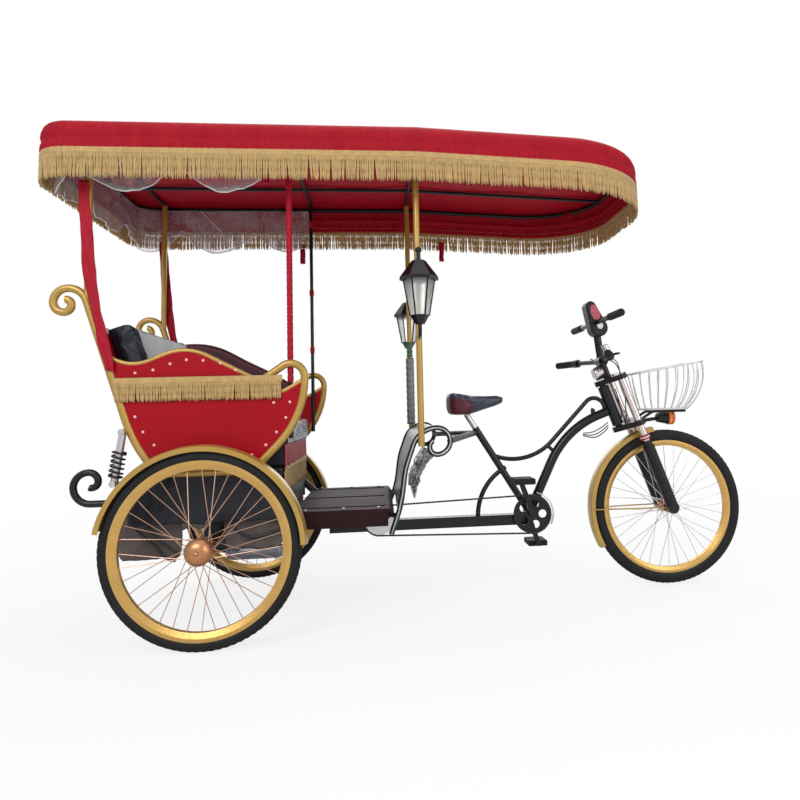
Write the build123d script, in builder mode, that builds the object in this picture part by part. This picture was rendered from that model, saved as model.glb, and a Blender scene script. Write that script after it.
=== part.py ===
from build123d import *
import os
from math import cos, pi, radians, sin, sqrt, tan

os.makedirs("parts", exist_ok=True)

# Whole vehicle: x runs forward, y to the rider's left, z up from the floor
wheelbase = 1871.0
wheel_radius = 336.0
carriage_half = 420.0  # the gold rails' middle line
wheel_clearance = 84.0  # rear wheel's middle outside the rails
track = 2 * (carriage_half + wheel_clearance)
canopy_tail = 578.0  # fringe's rear face, behind the rear axle
axle_x = (canopy_tail - wheelbase - wheel_radius) / 2
front_x = axle_x + wheelbase
near = -1  # the rider's right, where the chain runs
sides = (near, 1)

# Fits and margins
running_gap = 6.0  # air beside what turns
bearing_gap = 0.1
soft_gap = 0.3
cut_margin = 5.0


def side_plane(distance):
    """Upright plane seen from the rider's right, a distance out on that side."""
    return Plane((axle_x, -distance, 0), x_dir=(1, 0, 0), z_dir=(0, -1, 0))


def scaled(step_shares, size):
    """Steps in lengths, from steps in shares of one size."""
    return [(run * size, bend * size, turn) for run, bend, turn in step_shares]


def trace(start, heading, steps):
    """Draw runs and bends one after the other and return where they end.

    A step is a run's length, a bend's radius and the bend's angle, left positive.
    """
    x, z = start
    for run, bend, turn in steps:
        if run:
            end = (x + run * cos(radians(heading)), z + run * sin(radians(heading)))
            Line((x, z), end)
            x, z = end
        if turn:
            hand = 1 if turn > 0 else -1
            centre_x = x - hand * bend * sin(radians(heading))
            centre_z = z + hand * bend * cos(radians(heading))
            CenterArc((centre_x, centre_z), bend, heading - hand * 90, turn)
            heading += turn
            x = centre_x + hand * bend * sin(radians(heading))
            z = centre_z - hand * bend * cos(radians(heading))
    return x, z


def formed_bar(plane, start, heading, steps, radius):
    """Round bar bent in one plane."""
    with BuildPart() as bar:
        with BuildLine(plane) as path:
            trace(start, heading, steps)
        with BuildSketch(Plane(path.wire() @ 0, z_dir=path.wire() % 0)):
            Circle(radius)
        sweep(path=path.wire())
    return bar.part


def formed_strip(plane, start, heading, steps, thickness, width):
    """Flat strip bent in one plane, its width square to that plane."""
    with BuildPart() as strip:
        with BuildLine(plane) as path:
            trace(start, heading, steps)
        with BuildSketch(Plane(path.wire() @ 0, x_dir=plane.z_dir, z_dir=path.wire() % 0)):
            Rectangle(width, thickness)
        sweep(path=path.wire())
    return strip.part


def straight_bar(start, end, radius):
    """Round bar from one point to another."""
    start, end = Vector(*start), Vector(*end)
    with BuildPart() as bar:
        with BuildSketch(Plane(start, z_dir=end - start)):
            Circle(radius)
        extrude(amount=(end - start).length)
    return bar.part


def bent_bar(points, bend, radius):
    """Round bar along straight runs with equal arcs at the corners."""
    with BuildPart() as bar:
        with BuildLine() as path:
            FilletPolyline(*points, radius=bend)
        with BuildSketch(Plane(path.wire() @ 0, z_dir=path.wire() % 0)):
            Circle(radius)
        sweep(path=path.wire())
    return bar.part


def at(x, y, z):
    """Point measured forward of the rear axle."""
    return (axle_x + x, y, z)


def save(piece, name):
    """Name a finished piece and write it out."""
    piece.part.label = name
    export_step(piece.part, f"parts/{name}.step")


# Wheels: tyre and rim are turned, the spokes cross three times
spoke_count = 36
spoke_radius = 1.5
spoke_sides = 6
crossing_angle = 58.0
rim_lip_share = 0.42  # upright part of the rim's depth
rim_well_share = 0.55  # the rim's inner width to its outer width
spoke_sink = 3.0  # how far a spoke enters rim and flange

rear_tyre_width = 42.0
rear_rim_radius = 303.0
rear_rim_depth = 31.0
rear_flange_radius = 34.0
rear_flange_half = 34.0
rear_barrel_radius = 20.0
front_tyre_width = 52.0
front_rim_radius = 290.0
front_rim_depth = 24.0
front_flange_radius = 27.0
front_flange_half = 29.0
front_barrel_radius = 15.0
flange_thickness = 4.0


def tyre_ring(plane, tyre_width, rim_radius):
    """Tyre turned about the wheel's own axis, flat where it sits on the rim."""
    with BuildPart() as ring:
        with BuildSketch(plane):
            with Locations((wheel_radius - tyre_width / 2, 0)):
                Circle(tyre_width / 2)
            with Locations((rim_radius, 0)):
                Rectangle(tyre_width, tyre_width, align=(Align.MAX, Align.CENTER), mode=Mode.SUBTRACT)
        revolve(axis=Axis(plane.origin, plane.y_dir))
    return ring.part


def wire_wheel(plane, tyre_width, rim_radius, rim_depth, flange_radius, flange_half, barrel_radius):
    """Rim, crossed spokes and flanged hub as one piece."""
    seat_half = sqrt((tyre_width / 2) ** 2 - (rim_radius - wheel_radius + tyre_width / 2) ** 2)
    rim_inner = rim_radius - rim_depth
    start_radius = flange_radius - spoke_sink
    end_radius = rim_inner + spoke_sink
    spoke_planes = []
    for number in range(spoke_count):
        hand = 1 if number % 2 else -1
        lean = 1 if (number // 2) % 2 else -1
        rim_angle = radians(number * 360 / spoke_count)
        hub_angle = rim_angle + lean * radians(crossing_angle)
        hub_side = hand * (flange_half + lean * flange_thickness / 2)
        foot = Vector(start_radius * cos(hub_angle), hub_side, start_radius * sin(hub_angle))
        head = Vector(end_radius * cos(rim_angle), 0, end_radius * sin(rim_angle))
        spoke_planes.append(Plane(plane.origin + foot, z_dir=head - foot))
        spoke_length = (head - foot).length
    with BuildPart() as wheel:
        with BuildSketch(plane):
            with BuildLine():
                Polyline(
                    (rim_radius, -seat_half),
                    (rim_radius, seat_half),
                    (rim_radius - rim_lip_share * rim_depth, seat_half),
                    (rim_inner, rim_well_share * seat_half),
                    (rim_inner, -rim_well_share * seat_half),
                    (rim_radius - rim_lip_share * rim_depth, -seat_half),
                    close=True,
                )
            make_face()
            with Locations((barrel_radius / 2, 0)):
                Rectangle(barrel_radius, 2 * flange_half)
            with Locations((flange_radius / 2, -flange_half), (flange_radius / 2, flange_half)):
                Rectangle(flange_radius, flange_thickness)
        revolve(axis=Axis(plane.origin, plane.y_dir))
        with BuildSketch(*spoke_planes):
            RegularPolygon(spoke_radius, spoke_sides)
        extrude(amount=spoke_length)
    return wheel.part


# Rear axle: a housing between the wheels, bored at its ends for the wheels' half shafts
housing_radius = 27.0
shaft_radius = 14.0
shaft_grip = 90.0  # half shaft inside the housing
cap_radius = 46.0
cap_height = 24.0
cap_stand = 10.0
cap_bead_radius = 9.0
housing_half = track / 2 - rear_flange_half - flange_thickness / 2 - running_gap

rear_hub = Plane((axle_x, near * track / 2, wheel_radius), x_dir=(1, 0, 0), z_dir=(0, 0, 1))
front_hub = Plane((front_x, 0, wheel_radius), x_dir=(1, 0, 0), z_dir=(0, 0, 1))

tyre = tyre_ring(rear_hub, rear_tyre_width, rear_rim_radius)
with BuildPart() as tyre_rear_right:
    add(tyre)
save(tyre_rear_right, "tyre_rear_right")
with BuildPart() as tyre_rear_left:
    mirror(tyre, about=Plane.XZ)
save(tyre_rear_left, "tyre_rear_left")

wheel = wire_wheel(
    rear_hub,
    rear_tyre_width,
    rear_rim_radius,
    rear_rim_depth,
    rear_flange_radius,
    rear_flange_half,
    rear_barrel_radius,
)
hub_face = track / 2 + rear_flange_half + flange_thickness / 2
with BuildPart() as wheel_rear_right:
    add(wheel)
    # Domed cap over the hub's outer end, with a bead at its middle
    with BuildSketch(Plane((axle_x, -hub_face, wheel_radius), x_dir=(1, 0, 0), z_dir=(0, 0, 1))):
        with BuildLine():
            Polyline((0, 0), (cap_radius, 0), (cap_radius, -cap_stand))
            cap_arc = ThreePointArc(
                (cap_radius, -cap_stand),
                (cap_radius * sin(pi / 4), -cap_stand - cap_height * cos(pi / 4)),
                (0, -cap_stand - cap_height),
            )
            Line(cap_arc @ 1, (0, 0))
        make_face()
    revolve(axis=Axis((axle_x, 0, wheel_radius), (0, 1, 0)))
    with Locations((axle_x, -hub_face - cap_stand - cap_height, wheel_radius)):
        Sphere(cap_bead_radius)
save(wheel_rear_right, "wheel_rear_right")
with BuildPart() as wheel_rear_left:
    mirror(wheel_rear_right.part, about=Plane.XZ)
save(wheel_rear_left, "wheel_rear_left")

# Half shafts, each fixed to its wheel's hub and turning in the housing
hub_inner_face = track / 2 - rear_flange_half - flange_thickness / 2
with BuildPart() as half_shaft_right:
    with BuildSketch(Plane((axle_x, near * (housing_half - shaft_grip), wheel_radius), z_dir=(0, -1, 0))):
        Circle(shaft_radius)
    extrude(amount=hub_inner_face - housing_half + shaft_grip)
save(half_shaft_right, "half_shaft_right")
with BuildPart() as half_shaft_left:
    mirror(half_shaft_right.part, about=Plane.XZ)
save(half_shaft_left, "half_shaft_left")

casing_radius = 80.0
casing_width = 110.0
casing_place = -130.0  # the casing's middle from the frame's middle
casing_round = 24.0
with BuildPart() as rear_axle:
    with BuildSketch(Plane((axle_x, 0, wheel_radius), z_dir=(0, -1, 0))):
        Circle(housing_radius)
    extrude(amount=housing_half, both=True)
    with BuildSketch(Plane((axle_x, casing_place, wheel_radius), z_dir=(0, -1, 0))):
        Circle(casing_radius)
    casing = extrude(amount=casing_width / 2, both=True)
    fillet(edges().filter_by(GeomType.CIRCLE).group_by(Edge.length)[-1], casing_round)
    for side in sides:
        bore_place = side * (housing_half - shaft_grip - running_gap)
        with BuildSketch(Plane((axle_x, bore_place, wheel_radius), z_dir=(0, side, 0))):
            Circle(shaft_radius + bearing_gap)
        extrude(amount=shaft_grip + running_gap + cut_margin, mode=Mode.SUBTRACT)
save(rear_axle, "rear_axle")

# Front wheel and its axle stubs in the fork's feet
leg_half = 70.0  # a fork leg from the middle
foot_thickness = 10.0
front_stub_radius = 5.0
front_stub_reach = leg_half - soft_gap
with BuildPart() as tyre_front:
    add(tyre_ring(front_hub, front_tyre_width, front_rim_radius))
save(tyre_front, "tyre_front")
with BuildPart() as wheel_front:
    add(
        wire_wheel(
            front_hub,
            front_tyre_width,
            front_rim_radius,
            front_rim_depth,
            front_flange_radius,
            front_flange_half,
            front_barrel_radius,
        )
    )
    with BuildSketch(Plane((front_x, 0, wheel_radius), z_dir=(0, -1, 0))):
        Circle(front_stub_radius)
    extrude(amount=front_stub_reach, both=True)
save(wheel_front, "wheel_front")

# Steering: the head plane's x points forward, square to the steering axis, and its z up along it
head_angle = 70.0
fork_length = 513.0  # along the axis, from the front axle to the head tube's middle
fork_offset = 67.6
lean_x = cos(radians(head_angle))
lean_z = sin(radians(head_angle))
head_x = front_x - fork_offset * lean_z - fork_length * lean_x
head_z = wheel_radius - fork_offset * lean_x + fork_length * lean_z
head = Plane((head_x, 0, head_z), x_dir=(lean_z, 0, lean_x), z_dir=(-lean_x, 0, lean_z))


def on_head(forward, side, up):
    """Point in the head plane's own directions."""
    return head.from_local_coords((forward, side, up))


head_tube_radius = 25.0
head_tube_above = 83.0
head_tube_below = 98.0
steerer_radius = 14.3
crown_thickness = 23.0
crown_radius = 31.0
clamp_radius = 27.0
stanchion_radius = 16.0
leg_radius = 25.0
leg_top = -200.0  # the black legs' top along the axis
leg_foot = -500.0
wiper_radius = 21.0
wiper_height = 26.0
upper_crown = head_tube_above + running_gap
lower_crown = -head_tube_below - running_gap - crown_thickness

with BuildPart() as fork_crowns:
    for height in (upper_crown, lower_crown):
        with BuildSketch(head.offset(height)):
            with Locations((0, 0)):
                Circle(crown_radius)
            with Locations((fork_offset, -leg_half), (fork_offset, leg_half)):
                Circle(clamp_radius)
            make_hull()
            with Locations((fork_offset, -leg_half), (fork_offset, leg_half)):
                Circle(stanchion_radius, mode=Mode.SUBTRACT)
        extrude(amount=crown_thickness)
    with BuildSketch(head.offset(lower_crown)):
        Circle(steerer_radius)
    extrude(amount=upper_crown - lower_crown)
save(fork_crowns, "fork_crowns")

with BuildPart() as fork_stanchions:
    with BuildSketch(head.offset(leg_top)):
        with Locations((fork_offset, -leg_half), (fork_offset, leg_half)):
            Circle(stanchion_radius)
    extrude(amount=upper_crown + crown_thickness - leg_top)
save(fork_stanchions, "fork_stanchions")

with BuildPart() as fork_legs:
    with BuildSketch(head.offset(leg_foot)):
        with Locations((fork_offset, -leg_half), (fork_offset, leg_half)):
            Circle(leg_radius)
    extrude(amount=leg_top - wiper_height - leg_foot)
    with BuildSketch(head.offset(leg_top - wiper_height)):
        with Locations((fork_offset, -leg_half), (fork_offset, leg_half)):
            Circle(wiper_radius)
    extrude(amount=wiper_height)
    # Feet round the axle's ends
    for side in sides:
        foot_plane = Plane((front_x, side * leg_half, wheel_radius), z_dir=(0, side, 0))
        with BuildSketch(foot_plane):
            Circle(leg_radius)
        extrude(amount=foot_thickness, both=True)
        with BuildSketch(foot_plane.offset(-leg_radius)):
            Circle(front_stub_radius + bearing_gap)
        extrude(amount=leg_radius, mode=Mode.SUBTRACT)
save(fork_legs, "fork_legs")

# Front fender: a crowned strip about the wheel's axis, with side flanges
fender_clearance = 12.0  # fender's inside above the tread
fender_thickness = 3.0
fender_crown = 5.0
flange_depth = 14.0
rear_fender_width = 64.0
front_fender_width = 64.0
front_fender_from = 99.0
front_fender_to = 208.0
rear_fender_from = 1.0
rear_fender_to = 168.0
fender_inner = wheel_radius + fender_clearance
stay_radius = 3.0


def fender_arc(centre, width, first_angle, last_angle):
    """Fender strip from one angle to another, counted up from straight ahead."""
    ahead = Vector(cos(radians(first_angle)), 0, sin(radians(first_angle)))
    along = Vector(-sin(radians(first_angle)), 0, cos(radians(first_angle)))
    with BuildPart() as strip:
        with BuildSketch(Plane(centre, x_dir=ahead, z_dir=along)):
            half = width / 2
            with BuildLine():
                outer = ThreePointArc(
                    (fender_inner + fender_thickness, -half),
                    (fender_inner + fender_thickness + fender_crown, 0),
                    (fender_inner + fender_thickness, half),
                )
                Polyline(
                    outer @ 1,
                    (fender_inner - flange_depth, half),
                    (fender_inner - flange_depth, half - fender_thickness),
                    (fender_inner, half - fender_thickness),
                )
                inner = ThreePointArc(
                    (fender_inner, half - fender_thickness),
                    (fender_inner + fender_crown, 0),
                    (fender_inner, -half + fender_thickness),
                )
                Polyline(
                    inner @ 1,
                    (fender_inner - flange_depth, -half + fender_thickness),
                    (fender_inner - flange_depth, -half),
                    outer @ 0,
                )
            make_face()
        revolve(axis=Axis(centre, (0, -1, 0)), revolution_arc=last_angle - first_angle)
    return strip.part


front_centre = Vector(front_x, 0, wheel_radius)
fender_tab_radius = 8.0
fender_tab_start = fender_inner + fender_crown + fender_thickness / 2
stay_side = front_fender_width / 2 + stay_radius
stay_start_radius = fender_inner - flange_depth / 2
stay_foot_side = leg_half - foot_thickness
with BuildPart() as front_fender:
    add(fender_arc(front_centre, front_fender_width, front_fender_from, front_fender_to))
    # Stem up to the lower crown, and wire stays back to the fork's feet
    add(straight_bar(on_head(fork_offset, 0, fender_tab_start - fork_length), on_head(fork_offset, 0, lower_crown),
                     fender_tab_radius))
    for side in sides:
        add(straight_bar(front_centre + Vector(-stay_start_radius, side * stay_side, 0),
                         front_centre + Vector(-leg_radius, side * stay_foot_side, 0), stay_radius))
        add(straight_bar(front_centre + Vector(-stay_start_radius, side * (stay_side - 2 * stay_radius), 0),
                         front_centre + Vector(-stay_start_radius, side * stay_side, 0), stay_radius))
    add(fork_legs.part, mode=Mode.SUBTRACT)
save(front_fender, "front_fender")

# Handlebars on a riser: a swept lower bar and a straight upper bar
bar_radius = 11.0
grip_radius = 16.0
lower_bar_half = 365.0
lower_bar_height = 190.0  # above the head tube's middle
lower_bar_forward = 35.0
lower_bar_shares = (  # forward, side, up, of the bar's half width
    (0.0, 0.0, 0.0),
    (0.0, 0.19, 0.0),
    (-0.07, 0.55, 0.04),
    (-0.24, 1.0, 0.10),
)
lower_bend = 60.0
lower_grip_share = 0.34  # grip's length to the bar's half width
upper_bar_half = 324.0
upper_bar_height = 359.0
upper_bar_forward = 75.0
upper_grip = 125.0
mast_radius = 17.0
clamp_half = 32.0


def lower_bar_point(shares, side):
    """Corner of the lower bar on one side."""
    forward, across, up = shares
    return on_head(
        lower_bar_forward + forward * lower_bar_half,
        side * across * lower_bar_half,
        lower_bar_height + up * lower_bar_half,
    )


lower_corners = [lower_bar_point(shares, near) for shares in lower_bar_shares[:0:-1]]
lower_corners += [lower_bar_point(shares, 1) for shares in lower_bar_shares[1:]]
lower_bar = bent_bar(lower_corners, lower_bend, bar_radius)
mast_foot = on_head(lower_bar_forward, 0, upper_crown + crown_thickness)
mast_middle = on_head(lower_bar_forward, 0, lower_bar_height)
mast_top = on_head(upper_bar_forward, 0, upper_bar_height)
mast_low = straight_bar(mast_foot, mast_middle, mast_radius)
mast_high = straight_bar(mast_middle, mast_top, mast_radius)
upper_bar = straight_bar(
    on_head(upper_bar_forward, -upper_bar_half, upper_bar_height),
    on_head(upper_bar_forward, upper_bar_half, upper_bar_height),
    bar_radius,
)
clamps = [
    straight_bar(on_head(lower_bar_forward, -clamp_half, lower_bar_height),
                 on_head(lower_bar_forward, clamp_half, lower_bar_height), mast_radius + bar_radius / 2),
    straight_bar(on_head(upper_bar_forward, -clamp_half, upper_bar_height),
                 on_head(upper_bar_forward, clamp_half, upper_bar_height), mast_radius),
]
with BuildPart() as handlebars:
    add([lower_bar, mast_low, mast_high, upper_bar, *clamps])
save(handlebars, "handlebars")

# Grips: sleeves over the ends of both bars
grip_wall = grip_radius - bar_radius


def grip_sleeve(inner_end, outer_end):
    """Rubber sleeve on a bar's end, closed by a cap as thick as its wall."""
    inner_end, outer_end = Vector(*inner_end), Vector(*outer_end)
    along = (outer_end - inner_end).normalized()
    with BuildPart() as sleeve:
        with BuildSketch(Plane(inner_end, z_dir=along)):
            Circle(grip_radius)
        extrude(amount=(outer_end - inner_end).length + grip_wall)
        with BuildSketch(Plane(inner_end, z_dir=along)):
            Circle(bar_radius)
        extrude(amount=(outer_end - inner_end).length, mode=Mode.SUBTRACT)
    return sleeve.part


sleeves = []
for side in sides:
    bar_end = Vector(*lower_bar_point(lower_bar_shares[-1], side))
    bar_knee = Vector(*lower_bar_point(lower_bar_shares[-2], side))
    grip_start = bar_end + (bar_knee - bar_end).normalized() * lower_grip_share * lower_bar_half
    sleeves.append(grip_sleeve(grip_start, bar_end))
    sleeves.append(
        grip_sleeve(
            on_head(upper_bar_forward, side * (upper_bar_half - upper_grip), upper_bar_height),
            on_head(upper_bar_forward, side * upper_bar_half, upper_bar_height),
        )
    )
with BuildPart() as handlebar_grips:
    add(sleeves)
save(handlebar_grips, "handlebar_grips")

# Brake levers: a perch round the lower bar and a bent blade
perch_radius = 19.0
perch_length = 30.0
blade_radius = 5.0
blade_bend = 14.0
blade_shares = (  # along the bar outwards, forward, down, of the lever's length
    (0.0, 0.18, 0.0),
    (0.30, 0.36, -0.05),
    (1.0, 0.30, -0.10),
)
lever_length = 120.0
levers = []
for side in sides:
    bar_end = Vector(*lower_bar_point(lower_bar_shares[-1], side))
    bar_knee = Vector(*lower_bar_point(lower_bar_shares[-2], side))
    outward = (bar_end - bar_knee).normalized()
    perch_start = bar_end - outward * (lower_grip_share * lower_bar_half + perch_length + soft_gap)
    perch_middle = perch_start + outward * perch_length / 2
    ahead = Vector(*head.x_dir)
    with BuildPart() as lever:
        with BuildSketch(Plane(perch_start, z_dir=outward)):
            Circle(perch_radius)
        extrude(amount=perch_length)
        with BuildSketch(Plane(perch_start, z_dir=outward)):
            Circle(bar_radius)
        extrude(amount=perch_length, mode=Mode.SUBTRACT)
    blade_points = [
        perch_middle + outward * (along * lever_length) + ahead * (front * lever_length)
        + head.z_dir * (up * lever_length)
        for along, front, up in blade_shares
    ]
    levers.append(lever.part + bent_bar(blade_points, blade_bend, blade_radius))
with BuildPart() as brake_levers:
    add(levers)
save(brake_levers, "brake_levers")

# Display pod on the mast's top: a drop seen from the side
pod_length = 165.0
pod_width = 74.0
pod_depth = 78.0
pod_round = 9.0
pod_tip_share = 0.14
pod_below_share = 0.40  # part of the pod below the upper bar
with BuildPart() as display_pod:
    with BuildSketch(Plane(on_head(upper_bar_forward, 0, upper_bar_height - pod_below_share * pod_length),
                           x_dir=head.x_dir, z_dir=(0, -1, 0))):
        with Locations((0, pod_depth / 2)):
            Circle(pod_depth / 2)
        with Locations((0, pod_length - pod_tip_share * pod_length)):
            Circle(pod_tip_share * pod_length)
        make_hull()
    extrude(amount=pod_width / 2, both=True)
    fillet(faces().sort_by(Axis.Y)[0].edges() + faces().sort_by(Axis.Y)[-1].edges(), pod_round)
    add(handlebars.part, mode=Mode.SUBTRACT)
save(display_pod, "display_pod")

# Small lamps on the steering
round_lamp_radius = 30.0
round_lamp_depth = 40.0
round_lamp_height = 145.0
amber_lamp_radius = 15.0
amber_lamp_depth = 34.0
amber_lamp_side = 120.0
amber_lamp_height = 250.0
amber_stalk_radius = 4.0
amber_plane = Plane(
    on_head(lower_bar_forward, near * amber_lamp_side, lower_bar_height + bar_radius), z_dir=head.z_dir
)
amber_stalk = 22.0
with BuildPart() as steering_lamps:
    with BuildSketch(Plane(on_head(lower_bar_forward - mast_radius, 0, round_lamp_height), z_dir=-head.x_dir)):
        Circle(round_lamp_radius)
    extrude(amount=round_lamp_depth)
    fillet(faces().sort_by(Axis.X)[0].edges(), round_lamp_depth / 4)
    with BuildSketch(amber_plane):
        Circle(amber_stalk_radius)
    extrude(amount=amber_stalk)
    with BuildSketch(amber_plane.offset(amber_stalk)):
        Circle(amber_lamp_radius)
    extrude(amount=amber_lamp_depth)
    fillet(edges().sort_by(Axis.Z)[-1], amber_lamp_radius / 2)
    add(handlebars.part, mode=Mode.SUBTRACT)
save(steering_lamps, "steering_lamps")

# Basket: bowed upright wires between an upper and a lower ring, with a floor grid
wire_radius = 2.5
ring_wire_radius = 4.0
basket_back = 122.0  # basket's back, ahead of the axis on the head plane's level
basket_length = 330.0
basket_half = 140.0
basket_floor_length = 215.0
basket_floor_half = 95.0
basket_top_z = 945.0
basket_floor_z = 765.0
basket_corner = 60.0
basket_bow = 34.0  # how far the foremost wires bulge past the straight line
basket_tilt = 8.9
least_bow = 1.0
basket_x = head_x + basket_back + (head_z - basket_top_z) * lean_x / lean_z + basket_length / 2
floor_shift = -9.0
long_wires = 8
cross_wires = 5
top_ring_plane = Plane((basket_x, 0, basket_top_z), x_dir=(cos(radians(basket_tilt)), 0, sin(radians(basket_tilt))),
                       z_dir=(-sin(radians(basket_tilt)), 0, cos(radians(basket_tilt))))
floor_plane = Plane((basket_x + floor_shift, 0, basket_floor_z))


def ring_outline(length, half, corner):
    """Closed wire of a rounded rectangle, as corner points in order, with its half sizes."""
    with BuildSketch() as outline:
        RectangleRounded(length, 2 * half, corner)
    return outline.sketch.faces()[0].outer_wire()


top_outline = ring_outline(basket_length, basket_half, basket_corner)
floor_corner = basket_corner * basket_floor_half / basket_half
floor_outline = ring_outline(basket_floor_length, basket_floor_half, floor_corner)
basket_uprights = 26
ribs = []
for number in range(basket_uprights):
    share = number / basket_uprights
    upper = top_ring_plane.from_local_coords(top_outline @ share)
    lower = floor_plane.from_local_coords(floor_outline @ share)
    middle = (upper + lower) / 2
    outward = Vector(middle.X - basket_x, middle.Y, 0).normalized()
    with BuildPart() as rib:
        with BuildLine() as bow:
            ThreePointArc(upper, middle + outward * (least_bow + basket_bow * (1 + outward.X) / 2), lower)
        with BuildSketch(Plane(bow.wire() @ 0, z_dir=bow.wire() % 0)):
            RegularPolygon(wire_radius, spoke_sides)
        sweep(path=bow.wire())
    ribs.append(rib.part)
rings = []
for plane, outline in ((top_ring_plane, top_outline), (floor_plane, floor_outline)):
    path = plane.from_local_coords(outline)
    with BuildPart() as ring:
        with BuildSketch(Plane(path @ 0, z_dir=path % 0)):
            RegularPolygon(ring_wire_radius, spoke_sides)
        sweep(path=path)
    rings.append(ring.part)
with BuildPart() as basket:
    add(rings)
    add(ribs)
    with BuildSketch(floor_plane):
        with GridLocations(0, 2 * basket_floor_half / long_wires, 1, long_wires - 1):
            Rectangle(basket_floor_length, 2 * wire_radius)
        with GridLocations(basket_floor_length / cross_wires, 0, cross_wires - 1, 1):
            Rectangle(2 * wire_radius, 2 * basket_floor_half)
    extrude(amount=wire_radius, both=True)
save(basket, "basket")

# Basket's arms from the lower crown, and a lamp with an orange lens between them
arm_radius = 6.0
arm_half = 40.0
arm_bend = 25.0
arm_level_z = basket_floor_z - ring_wire_radius - arm_radius
arm_root = on_head(fork_offset, 0, lower_crown + crown_thickness / 2)
arm_knee_share = 0.3  # the knee's place along the basket's floor
floor_back_x = basket_x + floor_shift - basket_floor_length / 2
with BuildPart() as basket_arms:
    for side in sides:
        add(
            bent_bar(
                [
                    (arm_root.X, side * arm_half, arm_root.Z),
                    (floor_back_x + arm_knee_share * basket_floor_length, side * arm_half, arm_level_z),
                    (floor_back_x + basket_floor_length, side * arm_half, arm_level_z),
                ],
                arm_bend,
                arm_radius,
            )
        )
    add(fork_crowns.part, mode=Mode.SUBTRACT)
save(basket_arms, "basket_arms")

lens_radius = 32.0
lens_depth = 30.0
lens_round = 9.0
lamp_depth = 48.0
lamp_stem_radius = 8.0
lamp_back_share = 0.6
lens_z = arm_level_z - lens_radius + arm_radius / 2
lens_place_share = 0.68  # along the basket's floor
lens_x = floor_back_x + lens_place_share * basket_floor_length
with BuildPart() as front_lamp:
    with BuildSketch(Plane((lens_x, 0, lens_z), z_dir=(-1, 0, 0))):
        Circle(lens_radius - wire_radius)
    with BuildSketch(Plane((lens_x - lamp_depth, 0, lens_z), z_dir=(-1, 0, 0))):
        Circle(lens_radius * lamp_back_share)
    loft()
    add(straight_bar((arm_root.X, 0, arm_root.Z), (lens_x - lamp_depth / 2, 0, lens_z), lamp_stem_radius))
    add(fork_crowns.part, mode=Mode.SUBTRACT)
save(front_lamp, "front_lamp")
with BuildPart() as front_lens:
    with BuildSketch(Plane((lens_x, 0, lens_z), z_dir=(1, 0, 0))):
        Circle(lens_radius)
    extrude(amount=lens_depth)
    fillet(edges().filter_by(GeomType.CIRCLE).sort_by(Axis.X)[-1], lens_round)
save(front_lens, "front_lens")

# Cockpit frame on the middle plane
beam_height = 44.0
beam_width = 50.0
beam_top_z = 330.0
beam_back = 393.0  # places on this frame are measured forward of the rear axle
crank_reach = 621.0  # behind the front axle
crank_x = wheelbase - crank_reach
crank_z = wheel_radius - 3.0
shell_radius = 22.0
shell_half = 36.0
spindle_radius = 9.0
jack_x = 600.0
jack_z = crank_z
jack_shell_radius = 20.0
jack_shell_half = 40.0
seat_tube_radius = 15.0
seat_tube_back = 228.0  # top of the seat tube, behind the crank
seat_tube_top_z = 705.0
seat_tube_top = (crank_x - seat_tube_back, seat_tube_top_z)
down_tube_radius = 20.0
down_heading = 64.0
down_steps = ((235.0, 400.0, -44.0), (45.0, 0, 0))
thin_tube_radius = 9.5
thin_back = 144.0
thin_z = 581.0
thin_start = (crank_x - thin_back, thin_z)
thin_heading = -21.0
thin_steps = (
    (0, 236.0, 67.0),
    (235.0, 48.0, -136.0),
    (0, 32.0, -90.0),
    (0, 22.0, -120.0),
)
stay_tube_radius = 10.0
stay_back = 227.0
stay_z = 310.0
stay_start = (crank_x - stay_back, stay_z)
stay_heading = 90.0
stay_steps = ((12.0, 235.0, -58.0), (20.0, 0, 0))
strut_radius = 8.0
strut_ahead = 93.0
strut_run = 44.0
strut_top_z = 616.0
strut_drop = 41.0
strut_ends = (
    (crank_x + strut_ahead, strut_top_z),
    (crank_x + strut_ahead + strut_run, strut_top_z - strut_drop),
)
dash_inset = 40.0
dash_half = carriage_half - dash_inset
top_tube_radius = 12.0

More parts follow.
